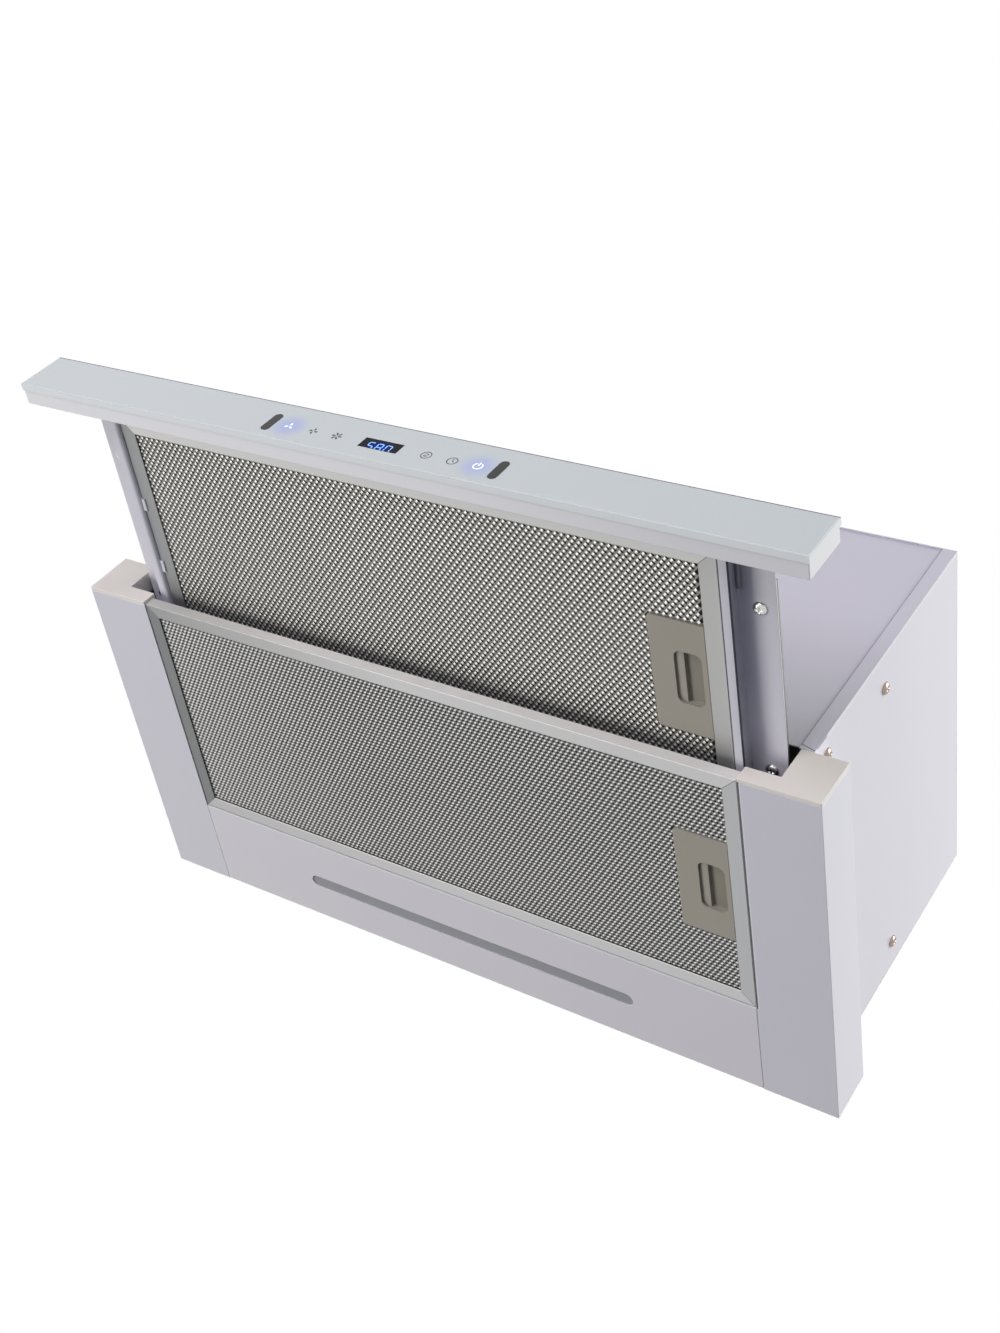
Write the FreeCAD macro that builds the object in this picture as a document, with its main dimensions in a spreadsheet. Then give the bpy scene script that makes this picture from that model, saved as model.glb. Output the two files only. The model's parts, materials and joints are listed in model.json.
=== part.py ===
import FreeCAD, Part
import Sketcher
from FreeCAD import Placement, Rotation, Vector
import math
import os
import re

# Built-in pull-out range hood, drawer open. Sizes are in millimetres.
# Every piece is drawn in the hood's frame: x from the middle, y from the front plane of the
# side profiles towards the wall, z up from the underside. The finished model is moved so that
# its origin lies on the wall, in the middle of the four fixing holes.
SIZES = {
    # motor housing of painted sheet steel
    "housing_top": 267,
    "panel_sheet": 1,
    "panel_fit": 0.2,
    "side_flange": 10,
    "return_flange": 18,
    "slide_flange": 36,
    "front_edge_gap": 2,
    "fixing_drop": 67,
    "fixing_inset": 55,
    "fixing_span_z": 80,
    "fixing_hole": 6,
    # side profiles and their end caps
    "hood_width": 595.6,
    "profile_overhang": 22.8,
    "profile_foot": 55,
    "foot_height": 12.1,
    "profile_leg": 31.2,
    "profile_height": 40,
    "profile_wall": 1,
    "cap_face": 3,
    "cap_plug": 12,
    "cap_fit": 0.2,
    # screws with domed heads on the housing's sides
    "side_screw_z": 143.5,
    "side_screw_front": 27.5,
    "rear_screw_inset": 23,
    "corner_screw_y": 14.5,
    "corner_screw_z": 56.4,
    "screw_shank": 4,
    "screw_head": 9,
    "screw_head_height": 3,
    "screw_length": 9,
    "screw_fit": 0.2,
    # cross braces between the sides
    "brace_size": 14,
    "brace_sheet": 1.5,
    # lamp panel behind the rear filter
    "lamp_panel_depth": 81.4,
    "lamp_panel_height": 14,
    "lamp_panel_gap": 0.3,
    "lamp_slot_length": 289,
    "lamp_slot_width": 11.4,
    "lamp_slot_inset": 39.3,
    "diffuser_margin": 5,
    "diffuser_plate": 2.5,
    "diffuser_wall": 2,
    "diffuser_height": 8,
    "board_thickness": 1.6,
    "led_length": 5,
    "led_width": 3,
    "led_height": 1,
    "led_spacing": 24,
    # double-inlet blower
    "fan_axis_y": 115,
    "fan_axis_z": 143.5,
    "impeller_radius": 58,
    "impeller_half_length": 55,
    "blade_depth": 12,
    "blade_thickness": 1.2,
    "blade_count": 30,
    "blade_tilt": 20,
    "impeller_disc": 2,
    "impeller_ring": 3,
    "hub_radius": 14,
    "hub_length": 14,
    "tip_gap": 6,
    "volute_step": 8,
    "scroll_wall": 2.5,
    "scroll_half_width": 64,
    "inlet_radius": 50,
    "lug_width": 30,
    "lug_height": 12,
    "lug_offset": 18,
    "motor_radius": 40,
    "motor_gap": 3,
    "motor_bearing_length": 8,
    "shaft_radius": 4,
    "running_fit": 0.05,
    "bracket_thickness": 3,
    "bracket_disc": 30,
    "bracket_arm_width": 12,
    "bracket_reach": 58,
    "bracket_arm_count": 3,
    # outlet collar with its two non-return flaps
    "collar_radius": 60,
    "collar_wall": 2.5,
    "collar_height": 40,
    "collar_flange": 72,
    "collar_flange_thickness": 2,
    "ledge_width": 4.5,
    "ledge_height": 1.5,
    "ledge_rise": 4,
    "flap_thickness": 1.2,
    "flap_edge_gap": 1,
    "flap_seat_gap": 0.3,
    "flap_pin_radius": 1.2,
    "flap_knuckle_radius": 2,
    "flap_pin_offset": 3,
    "flap_knuckle_length": 96,
    # electrics
    "box_width": 110,
    "box_depth": 45,
    "box_height": 60,
    "box_wall": 2,
    "box_lid": 2,
    "box_inset": 85,
    "control_board_gap": 6,
    "capacitor_radius": 14,
    "capacitor_length": 50,
    "gland_inset_x": 95,
    "gland_inset_y": 58,
    "gland_radius": 9,
    "gland_thread_radius": 7,
    "gland_bore": 4.2,
    "gland_rise": 18,
    "gland_nut_height": 5,
    "gland_nut_radius": 11,
    # drawer: front strip and its glass
    "drawer_travel": 159.4,
    "strip_overhang": 1.2,
    "strip_height": 40,
    "strip_drop": 1,
    "strip_depth": 11.2,
    "strip_wall": 1.2,
    "glass_thickness": 4.8,
    "glass_overhang": 0.6,
    "control_x": 4.7,
    "control_z": 16.4,
    "sensor_spread": 87.5,
    "sensor_width": 6.5,
    "sensor_height": 20,
    "sensor_inset": 0.6,
    "sensor_proud": 0.2,
    "display_width": 29.5,
    "display_height": 10.5,
    "display_depth": 5,
    "touch_board_length": 200,
    "touch_board_height": 26,
    # drawer arms
    "arm_gap": 3.9,
    "arm_plate_z": 28.6,
    "arm_lip_z": 18.4,
    "arm_plate_width": 24,
    "arm_lip_width": 6.5,
    "arm_lip_drop": 3,
    "arm_bend": 2.5,
    "arm_sheet": 1,
    "arm_tail": 49.8,
    "arm_screw_inset": 10.7,
    "arm_screw_front": 50.4,
    "arm_screw_rear": 172.4,
    "rail_depth": 12,
    "lug_length": 10,
    "lug_reach": 3,
    "lug_spread": 27,
    "cable_radius": 1.5,
    "cable_length": 38,
    # ball slides lying flat on the arms
    "slide_width": 18,
    "slide_sheet": 1.2,
    "slide_inner_wall": 3.8,
    "slide_channel_half": 4,
    "slide_start": 31.4,
    "slide_outer_start": 6,
    "slide_outer_end": 15,
    "ball_radius": 1.7,
    "ball_count": 8,
    "ball_pitch": 11,
    "cage_start": 92,
    "cage_sheet": 0.5,
    "cage_gap": 0.3,
    # filters
    "filter_length": 199,
    "filter_height": 8.5,
    "filter_wall": 0.8,
    "filter_gap": 0.6,
    "rear_filter_front": 2,
    "rear_filter_z": 0.5,
    "rear_border": 10.3,
    "drawer_filter_front": 9.2,
    "drawer_border": 11.8,
    "mesh_fit": 0.2,
    "tongue_reach": 3.2,
    "tongue_length": 16,
    "tongue_sheet": 1.2,
    "tongue_rise": 1.2,
    "tongue_spread": 70,
    # filter latches
    "latch_width": 38.5,
    "latch_length": 85,
    "latch_face": 1.6,
    "latch_height": 7.3,
    "window_width": 19,
    "window_length": 40,
    "window_radius": 5,
    "case_radius": 2.5,
    "window_from_edge": 3.6,
    "slider_length": 46,
    "slider_step": 6.2,
    "slider_overlap": 7,
    "slider_floor": 0.9,
    "slider_fit": 0.25,
    "latch_travel": 5,
    "bolt_width": 10,
    "bolt_height": 2.4,
    "bolt_reach": 3.4,
}

# Sizes that follow from others.
FOLLOWING = {
    "housing_width": "(hood_width - 2 * profile_overhang)",
    "lamp_panel_front": "(rear_filter_front + filter_length + filter_gap)",
    "housing_depth": "(lamp_panel_front + lamp_panel_depth)",
    "lamp_slot_y": "(housing_depth - lamp_slot_inset)",
    "fixing_height": "(housing_top - fixing_drop)",
    "fixing_span_x": "(housing_width - 2 * fixing_inset)",
    "side_screw_rear": "(housing_depth - rear_screw_inset)",
    "box_x": "(box_inset - housing_width / 2)",
    "gland_x": "(gland_inset_x - housing_width / 2)",
    "gland_y": "(housing_depth - gland_inset_y)",
    "strip_width": "(hood_width + 2 * strip_overhang)",
    "arm_outer": "(hood_width / 2 - profile_leg - arm_gap)",
    "arm_wall_x": "(arm_outer - arm_plate_width)",
    "arm_lip_inner": "(arm_wall_x - arm_lip_width)",
    "arm_screw_x": "(arm_outer - arm_screw_inset)",
    "arm_length": "(drawer_filter_front + filter_length + arm_tail)",
    "slide_outer_length": "(housing_depth - slide_outer_start - slide_outer_end)",
    "rear_filter_half": "(hood_width / 2 - profile_foot - filter_gap)",
    "drawer_filter_half": "(arm_lip_inner - filter_gap)",
}

# Places shared by several pieces, as expressions of the sizes.
FRAME_HOOD = ("0", "-housing_depth", "-fixing_height")
FRAME_DRAWER = ("0", "-housing_depth - drawer_travel", "-fixing_height")
FRAME_CAGE = ("0", "-housing_depth - drawer_travel / 2", "-fixing_height")
SIDE_INNER = "(housing_width / 2 - panel_sheet)"
HOUSING_BACK = "(housing_depth - panel_sheet)"
HOUSING_ROOF = "(housing_top - panel_sheet)"
PROFILE_OUTER = "(hood_width / 2)"
FOOT_INNER = "(hood_width / 2 - profile_foot)"
LEG_INNER = "(hood_width / 2 - profile_leg)"
BRACE_FRONT_WEB = "(side_screw_front + brace_size / 2)"
BRACE_REAR_WEB = "(side_screw_rear - brace_size / 2)"
COLLAR_Y = "(fan_axis_y + (impeller_radius + tip_gap + 2 * volute_step) / 2)"
FLAP_PIN_Z = "(housing_top + ledge_rise + ledge_height + flap_seat_gap + flap_knuckle_radius)"
STRIP_BOTTOM = "(-strip_drop)"
SLIDE_FLOOR = "(arm_plate_z + arm_sheet)"
BALL_Z = "(arm_plate_z + arm_sheet + slide_sheet + cage_gap + cage_sheet / 2)"
BALL_X = "((slide_channel_half + slide_width / 2 - slide_sheet) / 2)"
FILTER_MIDDLE = "(drawer_filter_front + filter_length / 2)"
HANDS = {"left": "-1", "right": "1"}

doc = FreeCAD.newDocument("pull_out_hood")
sheet = doc.addObject("Spreadsheet::Sheet", "Dims")
for row, (alias, size) in enumerate(SIZES.items(), start=1):
    sheet.set(f"A{row}", alias)
    sheet.set(f"B{row}", str(size))
    sheet.setAlias(f"B{row}", alias)
doc.recompute()

WORD = re.compile(r"[a-z][a-z_]*")
NODES = []


def linked(text):
    """The expression with each size pointing at its cell."""
    def cell(word):
        name = word.group()
        if name in FOLLOWING:
            return linked(FOLLOWING[name])
        return f"Dims.{name}" if name in SIZES else name

    return WORD.sub(cell, text)


def value(text):
    """The number that an expression has now."""
    return float(sheet.evalExpression(linked(text)))


def place(piece, frame, at=("0", "0", "0")):
    for axis, start, offset in zip("xyz", frame, at):
        piece.setExpression(f"Placement.Base.{axis}", linked(f"({start}) + ({offset})"))


def node(label, piece):
    """Marks a finished sub-part, which is written to its own file."""
    piece.Label = label
    NODES.append(piece)
    return piece


def box(name, x, y, z, frame=FRAME_HOOD):
    """A block between two values on each axis."""
    piece = doc.addObject("Part::Box", name)
    place(piece, frame, (x[0], y[0], z[0]))
    for side, (low, high) in zip(("Length", "Width", "Height"), (x, y, z)):
        piece.setExpression(side, linked(f"({high}) - ({low})"))
    return piece


def hand_box(name, hand, x, y, z, frame=FRAME_HOOD):
    """A block on the right side, or its mirror image on the left."""
    spans = {"1": x, "-1": (f"-({x[1]})", f"-({x[0]})")}
    return box(name, spans[hand], y, z, frame)


def rod(name, axis, radius, at, length, frame=FRAME_HOOD):
    """A cylinder that starts at a point and runs along x, y or z."""
    piece = doc.addObject("Part::Cylinder", name)
    along = {"x": Vector(1, 0, 0), "y": Vector(0, 1, 0), "z": Vector(0, 0, 1)}[axis]
    piece.Placement = Placement(Vector(), Rotation(Vector(0, 0, 1), along))
    place(piece, frame, at)
    piece.setExpression("Radius", linked(radius))
    piece.setExpression("Height", linked(length))
    return piece


def fused(name, pieces):
    piece = doc.addObject("Part::MultiFuse", name)
    piece.Shapes = pieces
    return piece


def grouped(name, pieces):
    """Separate solids under one name."""
    piece = doc.addObject("Part::Compound", name)
    piece.Links = pieces
    return piece


def cut(name, base, tools):
    piece = doc.addObject("Part::Cut", name)
    piece.Base = base
    piece.Tool = tools[0] if len(tools) == 1 else fused(f"{name}_tools", tools)
    return piece


def common(name, base, tool):
    piece = doc.addObject("Part::Common", name)
    piece.Base = base
    piece.Tool = tool
    return piece


def draw(sketch, corners):
    """A closed outline whose corners are held by their distances from the origin."""
    first = sketch.GeometryCount
    points = [Vector(value(u), value(w), 0) for u, w in corners]
    count = len(points)
    for start, end in zip(points, points[1:] + points[:1]):
        sketch.addGeometry(Part.LineSegment(start, end), False)
    for number in range(count):
        line = first + number
        after = first + (number + 1) % count
        sketch.addConstraint(Sketcher.Constraint("Coincident", line, 2, after, 1))
    for number, (corner, point) in enumerate(zip(corners, points)):
        for kind, text, distance in zip(("DistanceX", "DistanceY"), corner, (point.x, point.y)):
            index = sketch.addConstraint(Sketcher.Constraint(kind, -1, 1, first + number, 1, distance))
            sketch.setExpression(f"Constraints[{index}]", linked(text))


def profile(name, outlines, y, frame=FRAME_HOOD):
    """A section in x and z, drawn out along y."""
    body = doc.addObject("PartDesign::Body", name)
    sketch = body.newObject("Sketcher::SketchObject", f"{name}_section")
    plane = next(item for item in body.Origin.OriginFeatures if item.Role == "XZ_Plane")
    sketch.AttachmentSupport = [(plane, "")]
    sketch.MapMode = "FlatFace"
    for corners in outlines:
        draw(sketch, corners)
    pad = body.newObject("PartDesign::Pad", f"{name}_pad")
    pad.Profile = sketch
    pad.Reversed = True
    pad.setExpression("Length", linked(f"({y[1]}) - ({y[0]})"))
    place(body, frame, ("0", y[0], "0"))
    return body


def mirrored(hand, corners):
    return [(f"{hand} * ({x})", z) for x, z in corners]


def pill(name, centre, length, width, z, frame=FRAME_HOOD):
    """A slot shape with round ends, its length along x."""
    x, y = centre
    half = f"(({length}) - ({width})) / 2"
    height = f"({z[1]}) - ({z[0]})"
    spans = (f"{x} - {half}", f"{x} + {half}"), (f"{y} - ({width}) / 2", f"{y} + ({width}) / 2")
    pieces = [box(f"{name}_middle", *spans, z, frame)]
    for end, sign in (("start", "-"), ("end", "+")):
        at = (f"{x} {sign} {half}", y, z[0])
        pieces.append(rod(f"{name}_{end}", "z", f"({width}) / 2", at, height, frame))
    return fused(name, pieces)


def domed_screw(name, at, direction, length, frame=FRAME_HOOD):
    """A shank and a low domed head; direction is the axis and sign in which the screw is driven."""
    axis, sign = direction
    piece = doc.addObject("Part::Feature", name)
    head = value("screw_head / 2")
    rise = value("screw_head_height")
    dome = (head**2 + rise**2) / (2 * rise)
    ball = Part.makeSphere(dome, Vector(0, 0, dome - rise))
    cap = ball.common(Part.makeCylinder(head, rise, Vector(0, 0, -rise)))
    shank = Part.makeCylinder(value("screw_shank / 2"), value(length))
    piece.Shape = cap.fuse(shank).removeSplitter()
    along = {"x": Vector(sign, 0, 0), "z": Vector(0, 0, sign)}[axis]
    piece.Placement = Placement(Vector(), Rotation(Vector(0, 0, 1), along))
    place(piece, frame, at)
    return piece


def side_screw_places():
    yield "front", "side_screw_front", "side_screw_z"
    yield "rear", "side_screw_rear", "side_screw_z"
    yield "corner", "corner_screw_y", "corner_screw_z"


def screw_hole(name, hand, y, z, frame=FRAME_HOOD):
    start = f"{hand} * housing_width / 2 - ({hand} + 1) / 2 * return_flange"
    return rod(name, "x", "screw_shank / 2 + screw_fit", (start, y, z), "return_flange", frame)


def side_panel(side, hand):
    """Side wall with folds onto the front and rear, a rail flange below and a roof flange above."""
    outer = "housing_width / 2"
    inner = SIDE_INNER
    edge = "housing_width / 2 - side_flange"
    lower = ("profile_height", "profile_height + panel_sheet")
    upper = (f"{HOUSING_ROOF} - panel_sheet", HOUSING_ROOF)
    behind = "return_flange + 2 * panel_sheet"
    upright = ("profile_height", HOUSING_ROOF)
    walls = [
        ("wall", (inner, outer), ("0", HOUSING_BACK), upright),
        ("front_fold", (edge, outer), ("0", "panel_sheet"), upright),
        ("rear_fold", (edge, outer), (f"{HOUSING_BACK} - panel_sheet", HOUSING_BACK), upright),
        ("rail_flange", ("housing_width / 2 - slide_flange", outer), (behind, HOUSING_BACK), lower),
        ("roof_flange", (edge, outer), (behind, HOUSING_BACK), upper),
    ]
    sheets = [hand_box(f"side_{what}_{side}", hand, *span) for what, *span in walls]
    blank = fused(f"side_blank_{side}", sheets)
    holes = [screw_hole(f"side_hole_{side}_{what}", hand, y, z) for what, y, z in side_screw_places()]
    node(f"side_panel_{side}", cut(f"side_panel_{side}_cut", blank, holes))


def front_panel():
    """Front sheet behind the folds of the sides, with return flanges along them."""
    reach = f"{SIDE_INNER} - panel_fit"
    lower = "profile_height + front_edge_gap"
    upright = (lower, HOUSING_ROOF)
    near = ("panel_sheet", "2 * panel_sheet")
    walls = [box("front_face", (f"-({reach})", reach), near, upright)]
    holes = []
    for side, hand in HANDS.items():
        span = (f"{reach} - panel_sheet", reach), ("panel_sheet", "panel_sheet + return_flange"), upright
        walls.append(hand_box(f"front_return_{side}", hand, *span))
        holes.append(screw_hole(f"front_hole_{side}", hand, "corner_screw_y", "corner_screw_z"))
    node("front_panel", cut("front_panel_cut", fused("front_blank", walls), holes))


def rear_panel():
    """Rear sheet with the four holes for the wall screws."""
    across = ("-housing_width / 2", "housing_width / 2")
    face = box("rear_face", across, (HOUSING_BACK, "housing_depth"), ("profile_height", "housing_top"))
    holes = []
    for column in ("-1", "1"):
        for row in ("-1", "1"):
            x = f"{column} * fixing_span_x / 2"
            z = f"fixing_height + {row} * fixing_span_z / 2"
            at = (x, f"{HOUSING_BACK} - panel_sheet", z)
            holes.append(rod("fixing_hole_tool", "y", "fixing_hole / 2", at, "3 * panel_sheet"))
    node("rear_panel", cut("rear_panel_cut", face, holes))


def top_panel():
    """Roof sheet with the openings for the outlet collar and the cord gland."""
    across = ("-housing_width / 2", "housing_width / 2")
    face = box("top_face", across, ("0", HOUSING_BACK), (HOUSING_ROOF, "housing_top"))
    below = f"{HOUSING_ROOF} - panel_sheet"
    outlet = rod("outlet_tool", "z", "collar_radius", ("0", COLLAR_Y, below), "3 * panel_sheet")
    at = ("gland_x", "gland_y", below)
    gland = rod("gland_tool", "z", "gland_thread_radius + panel_fit", at, "3 * panel_sheet")
    node("top_panel", cut("top_panel_cut", face, [outlet, gland]))


def section(inset):
    """The L-shaped outline of a side profile, moved inwards by a wall or a clearance."""
    return [
        (f"{FOOT_INNER} + {inset}", f"{inset}"),
        (f"{PROFILE_OUTER} - ({inset})", f"{inset}"),
        (f"{PROFILE_OUTER} - ({inset})", f"profile_height - ({inset})"),
        (f"{LEG_INNER} + {inset}", f"profile_height - ({inset})"),
        (f"{LEG_INNER} + {inset}", f"foot_height - ({inset})"),
        (f"{FOOT_INNER} + {inset}", f"foot_height - ({inset})"),
    ]


def side_profile(side, hand):
    """Hollow L-shaped cover with slots for the rear filter's tongues or bolt, and its end cap."""
    outlines = [mirrored(hand, section("0")), mirrored(hand, section("profile_wall"))]
    tube = profile(f"profile_tube_{side}", outlines, ("cap_face", "housing_depth"))
    middle = "rear_filter_front + filter_length / 2"
    through = (f"{FOOT_INNER} - profile_wall", f"{FOOT_INNER} + 2 * profile_wall")
    slots = []
    if side == "left":
        low = "rear_filter_z + tongue_rise"
        rise = (f"{low} - slider_fit", f"{low} + tongue_sheet + slider_fit")
        for sign in ("-1", "1"):
            centre = f"{middle} + {sign} * tongue_spread"
            reach = "tongue_length / 2 + slider_fit"
            span = (f"{centre} - ({reach})", f"{centre} + {reach}")
            slots.append(hand_box("tongue_slot", hand, through, span, rise))
    else:
        centre = "rear_filter_z + latch_height / 2"
        rise = (f"{centre} - bolt_height / 2 - slider_fit", f"{centre} + bolt_height / 2 + slider_fit")
        reach = "bolt_width / 2 + slider_fit"
        span = (f"{middle} - ({reach})", f"{middle} + {reach}")
        slots.append(hand_box("bolt_slot", hand, through, span, rise))
    node(f"side_profile_{side}", cut(f"side_profile_{side}_cut", tube, slots))
    face = profile(f"cap_face_{side}", [mirrored(hand, section("0"))], ("0", "cap_face"))
    outline = mirrored(hand, section("profile_wall + cap_fit"))
    plug = profile(f"cap_plug_{side}", [outline], ("cap_face", "cap_face + cap_plug"))
    node(f"end_cap_{side}", fused(f"end_cap_{side}_fuse", [face, plug]))


def braces():
    """Two angles between the sides; the front one holds the blower, the rear one the control box."""
    low = "side_screw_z - brace_size / 2"
    high = "side_screw_z + brace_size / 2"
    across = (f"-{SIDE_INNER}", SIDE_INNER)
    for place_name, screw_y, web in (
        ("front", "side_screw_front", (f"{BRACE_FRONT_WEB} - brace_sheet", BRACE_FRONT_WEB)),
        ("rear", "side_screw_rear", (BRACE_REAR_WEB, f"{BRACE_REAR_WEB} + brace_sheet")),
    ):
        span = (f"{screw_y} - brace_size / 2", f"{screw_y} + brace_size / 2")
        walls = [
            box(f"brace_web_{place_name}", across, web, (low, high)),
            box(f"brace_flange_{place_name}", across, span, (f"{high} - brace_sheet", high)),
        ]
        holes = []
        for side, hand in HANDS.items():
            tab = (f"{SIDE_INNER} - brace_sheet", SIDE_INNER)
            walls.append(hand_box(f"brace_tab_{place_name}_{side}", hand, tab, span, (low, high)))
            holes.append(screw_hole(f"brace_hole_{place_name}_{side}", hand, screw_y, "side_screw_z"))
        blank = fused(f"brace_{place_name}_blank", walls)
        node(f"{place_name}_brace", cut(f"{place_name}_brace_cut", blank, holes))


def side_screws():
    screws = []
    for side, hand in HANDS.items():
        for what, y, z in side_screw_places():
            at = (f"{hand} * housing_width / 2", y, z)
            screws.append(domed_screw(f"screw_{side}_{what}", at, ("x", -int(hand)), "screw_length"))
    node("side_screws", grouped("side_screws_group", screws))


def lamp():
    """Lamp panel with its slot, the diffuser on it, the light strip and its light sources."""
    reach = f"{FOOT_INNER} - lamp_panel_gap"
    across = (f"-({reach})", reach)
    front = "lamp_panel_front"
    back = HOUSING_BACK
    walls = [
        box("lamp_floor", across, (front, back), ("0", "panel_sheet")),
        box("lamp_front", across, (front, f"{front} + panel_sheet"), ("0", "lamp_panel_height")),
        box("lamp_back", across, (f"{back} - panel_sheet", back), ("0", "profile_height")),
    ]
    below = ("-panel_sheet", "2 * panel_sheet")
    slot = pill("lamp_slot", ("0", "lamp_slot_y"), "lamp_slot_length", "lamp_slot_width", below)
    node("lamp_panel", cut("lamp_panel_cut", fused("lamp_blank", walls), [slot]))

    half = "(lamp_slot_width / 2 + diffuser_margin)"
    length = "(lamp_slot_length / 2 + diffuser_margin)"
    along = (f"-{length}", length)
    width = (f"lamp_slot_y - {half}", f"lamp_slot_y + {half}")
    block = box("diffuser_block", along, width, ("panel_sheet", "panel_sheet + diffuser_height"))
    inside = (f"lamp_slot_y - {half} + diffuser_wall", f"lamp_slot_y + {half} - diffuser_wall")
    hollow = box("diffuser_hollow", along, inside, ("panel_sheet + diffuser_plate", "2 * diffuser_height"))
    node("lamp_diffuser", cut("lamp_diffuser_cut", block, [hollow]))

    seat = "panel_sheet + diffuser_height"
    node("led_board", box("led_board_plate", along, width, (seat, f"{seat} + board_thickness")))
    count = int(value("lamp_slot_length / led_spacing"))
    chips = []
    for number in range(count):
        x = f"({number} - {count - 1} / 2) * led_spacing"
        span = (f"{x} - led_length / 2", f"{x} + led_length / 2")
        depth = ("lamp_slot_y - led_width / 2", "lamp_slot_y + led_width / 2")
        chips.append(box(f"led_{number}", span, depth, (f"{seat} - led_height", seat)))
    node("led_chips", grouped("led_chips_group", chips))


def volute(wall, top):
    """The blower's spiral outline round its axis in y and z, with a straight neck up to the outlet."""
    radius = value("impeller_radius + tip_gap") + wall
    step = value("volute_step")
    half = step / 2
    neck_left = -half - wall
    neck_right = half + radius + 2 * step
    first, second, third = Vector(0, -half, -half), Vector(0, half, -half), Vector(0, half, half)
    start = Vector(0, neck_left, -half + math.sqrt(radius**2 - wall**2))

    def on(centre, reach, degrees):
        angle = math.radians(degrees)
        return centre + Vector(0, reach * math.cos(angle), reach * math.sin(angle))

    wider = radius + step
    widest = radius + 2 * step
    end = on(third, widest, 0)
    arcs = [
        Part.Arc(start, on(first, radius, 135), on(first, radius, 180)),
        Part.Arc(on(second, wider, 180), on(second, wider, 225), on(second, wider, 270)),
        Part.Arc(on(third, widest, 270), on(third, widest, 315), end),
    ]
    corners = [end, Vector(0, neck_right, top), Vector(0, neck_left, top), start]
    lines = [Part.LineSegment(a, b) for a, b in zip(corners, corners[1:])]
    return Part.Wire([curve.toShape() for curve in arcs + lines])


def scroll():
    """Two moulded halves of the blower casing, split across the axis."""
    half = value("scroll_half_width")
    wall = value("scroll_wall")
    top = value(f"{HOUSING_ROOF} - fan_axis_z")
    outside = Part.Face(volute(wall, top)).extrude(Vector(2 * half, 0, 0))
    outside.translate(Vector(-half, 0, 0))
    inside = Part.Face(volute(0, top + wall)).extrude(Vector(2 * (half - wall), 0, 0))
    inside.translate(Vector(wall - half, 0, 0))
    inlets = Part.makeCylinder(value("inlet_radius"), 2 * half, Vector(-half, 0, 0), Vector(1, 0, 0))
    shell = outside.cut(inside).cut(inlets)
    front = value(f"{BRACE_FRONT_WEB} - fan_axis_y")
    root = -value("impeller_radius + tip_gap + volute_step / 2") - wall / 2
    reach = value("lug_width")
    for start in (value("lug_offset"), -value("lug_offset") - reach):
        corner = Vector(start, front, -value("lug_height") / 2)
        shell = shell.fuse(Part.makeBox(reach, root - front, value("lug_height"), corner))
    for side, start in (("left", -half), ("right", 0)):
        region = Part.makeBox(half, 4 * half, 4 * top, Vector(start, -2 * half, -2 * top))
        piece = doc.addObject("Part::Feature", f"scroll_{side}")
        piece.Shape = shell.common(region).removeSplitter()
        place(piece, FRAME_HOOD, ("0", "fan_axis_y", "fan_axis_z"))
        node(f"blower_scroll_{side}", piece)


def impeller():
    """Cage wheel open at both ends: a middle disc on a hub, two end rings and rows of blades."""
    blade_count = int(value("blade_count"))
    outer = value("impeller_radius")
    depth = value("blade_depth")
    half = value("impeller_half_length")
    disc = value("impeller_disc")
    ring = value("impeller_ring")
    along = Vector(1, 0, 0)

    def tube(inner, reach, start, length):
        solid = Part.makeCylinder(reach, length, Vector(start, 0, 0), along)
        return solid.cut(Part.makeCylinder(inner, length, Vector(start, 0, 0), along)) if inner else solid

    solids = [tube(outer - depth, outer, start, ring) for start in (-half, half - ring)]
    thickness = value("blade_thickness")
    blade = Part.makeBox(2 * half, thickness, depth, Vector(-half, -thickness / 2, outer - depth))
    blade.rotate(Vector(0, 0, outer - depth / 2), along, value("blade_tilt"))
    blade = blade.common(tube(outer - depth, outer, -half, 2 * half))
    for number in range(blade_count):
        copy = blade.copy()
        copy.rotate(Vector(), along, 360 * number / blade_count)
        solids.append(copy)
    hub = tube(0, value("hub_radius"), disc - value("hub_length"), value("hub_length"))
    wheel = tube(0, outer, -disc, 2 * disc).multiFuse(solids + [hub])
    bore = Part.makeCylinder(value("shaft_radius + running_fit"), 2 * half, Vector(-half, 0, 0), along)
    piece = doc.addObject("Part::Feature", "impeller_wheel")
    piece.Shape = wheel.cut(bore)
    place(piece, FRAME_HOOD, ("0", "fan_axis_y", "fan_axis_z"))
    node("impeller", piece)


def motor():
    """Motor inside the right half of the wheel, its shaft, and the bracket across the inlet."""
    axis = ("fan_axis_y", "fan_axis_z")
    start = "impeller_disc + motor_gap"
    outer = "scroll_half_width"
    can = rod("motor_can", "x", "motor_radius", (start, *axis), f"{outer} - ({start})")
    bearing = rod("motor_bore", "x", "shaft_radius + running_fit", (start, *axis), "motor_bearing_length")
    node("motor_body", cut("motor_body_cut", can, [bearing]))
    back = "impeller_disc - hub_length"
    length = f"{start} + motor_bearing_length - running_fit - ({back})"
    node("motor_shaft", rod("shaft_rod", "x", "shaft_radius", (back, *axis), length))

    piece = doc.addObject("Part::Feature", "bracket_plate")
    thickness = value("bracket_thickness")
    plate = Part.makeCylinder(value("bracket_disc"), thickness, Vector(), Vector(1, 0, 0))
    width = value("bracket_arm_width")
    arm_count = int(value("bracket_arm_count"))
    for number in range(arm_count):
        arm = Part.makeBox(thickness, width, value("bracket_reach"), Vector(0, -width / 2, 0))
        arm.rotate(Vector(), Vector(1, 0, 0), 360 * number / arm_count)
        plate = plate.fuse(arm)
    piece.Shape = plate.removeSplitter()
    place(piece, FRAME_HOOD, (outer, *axis))
    node("motor_bracket", piece)


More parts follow.
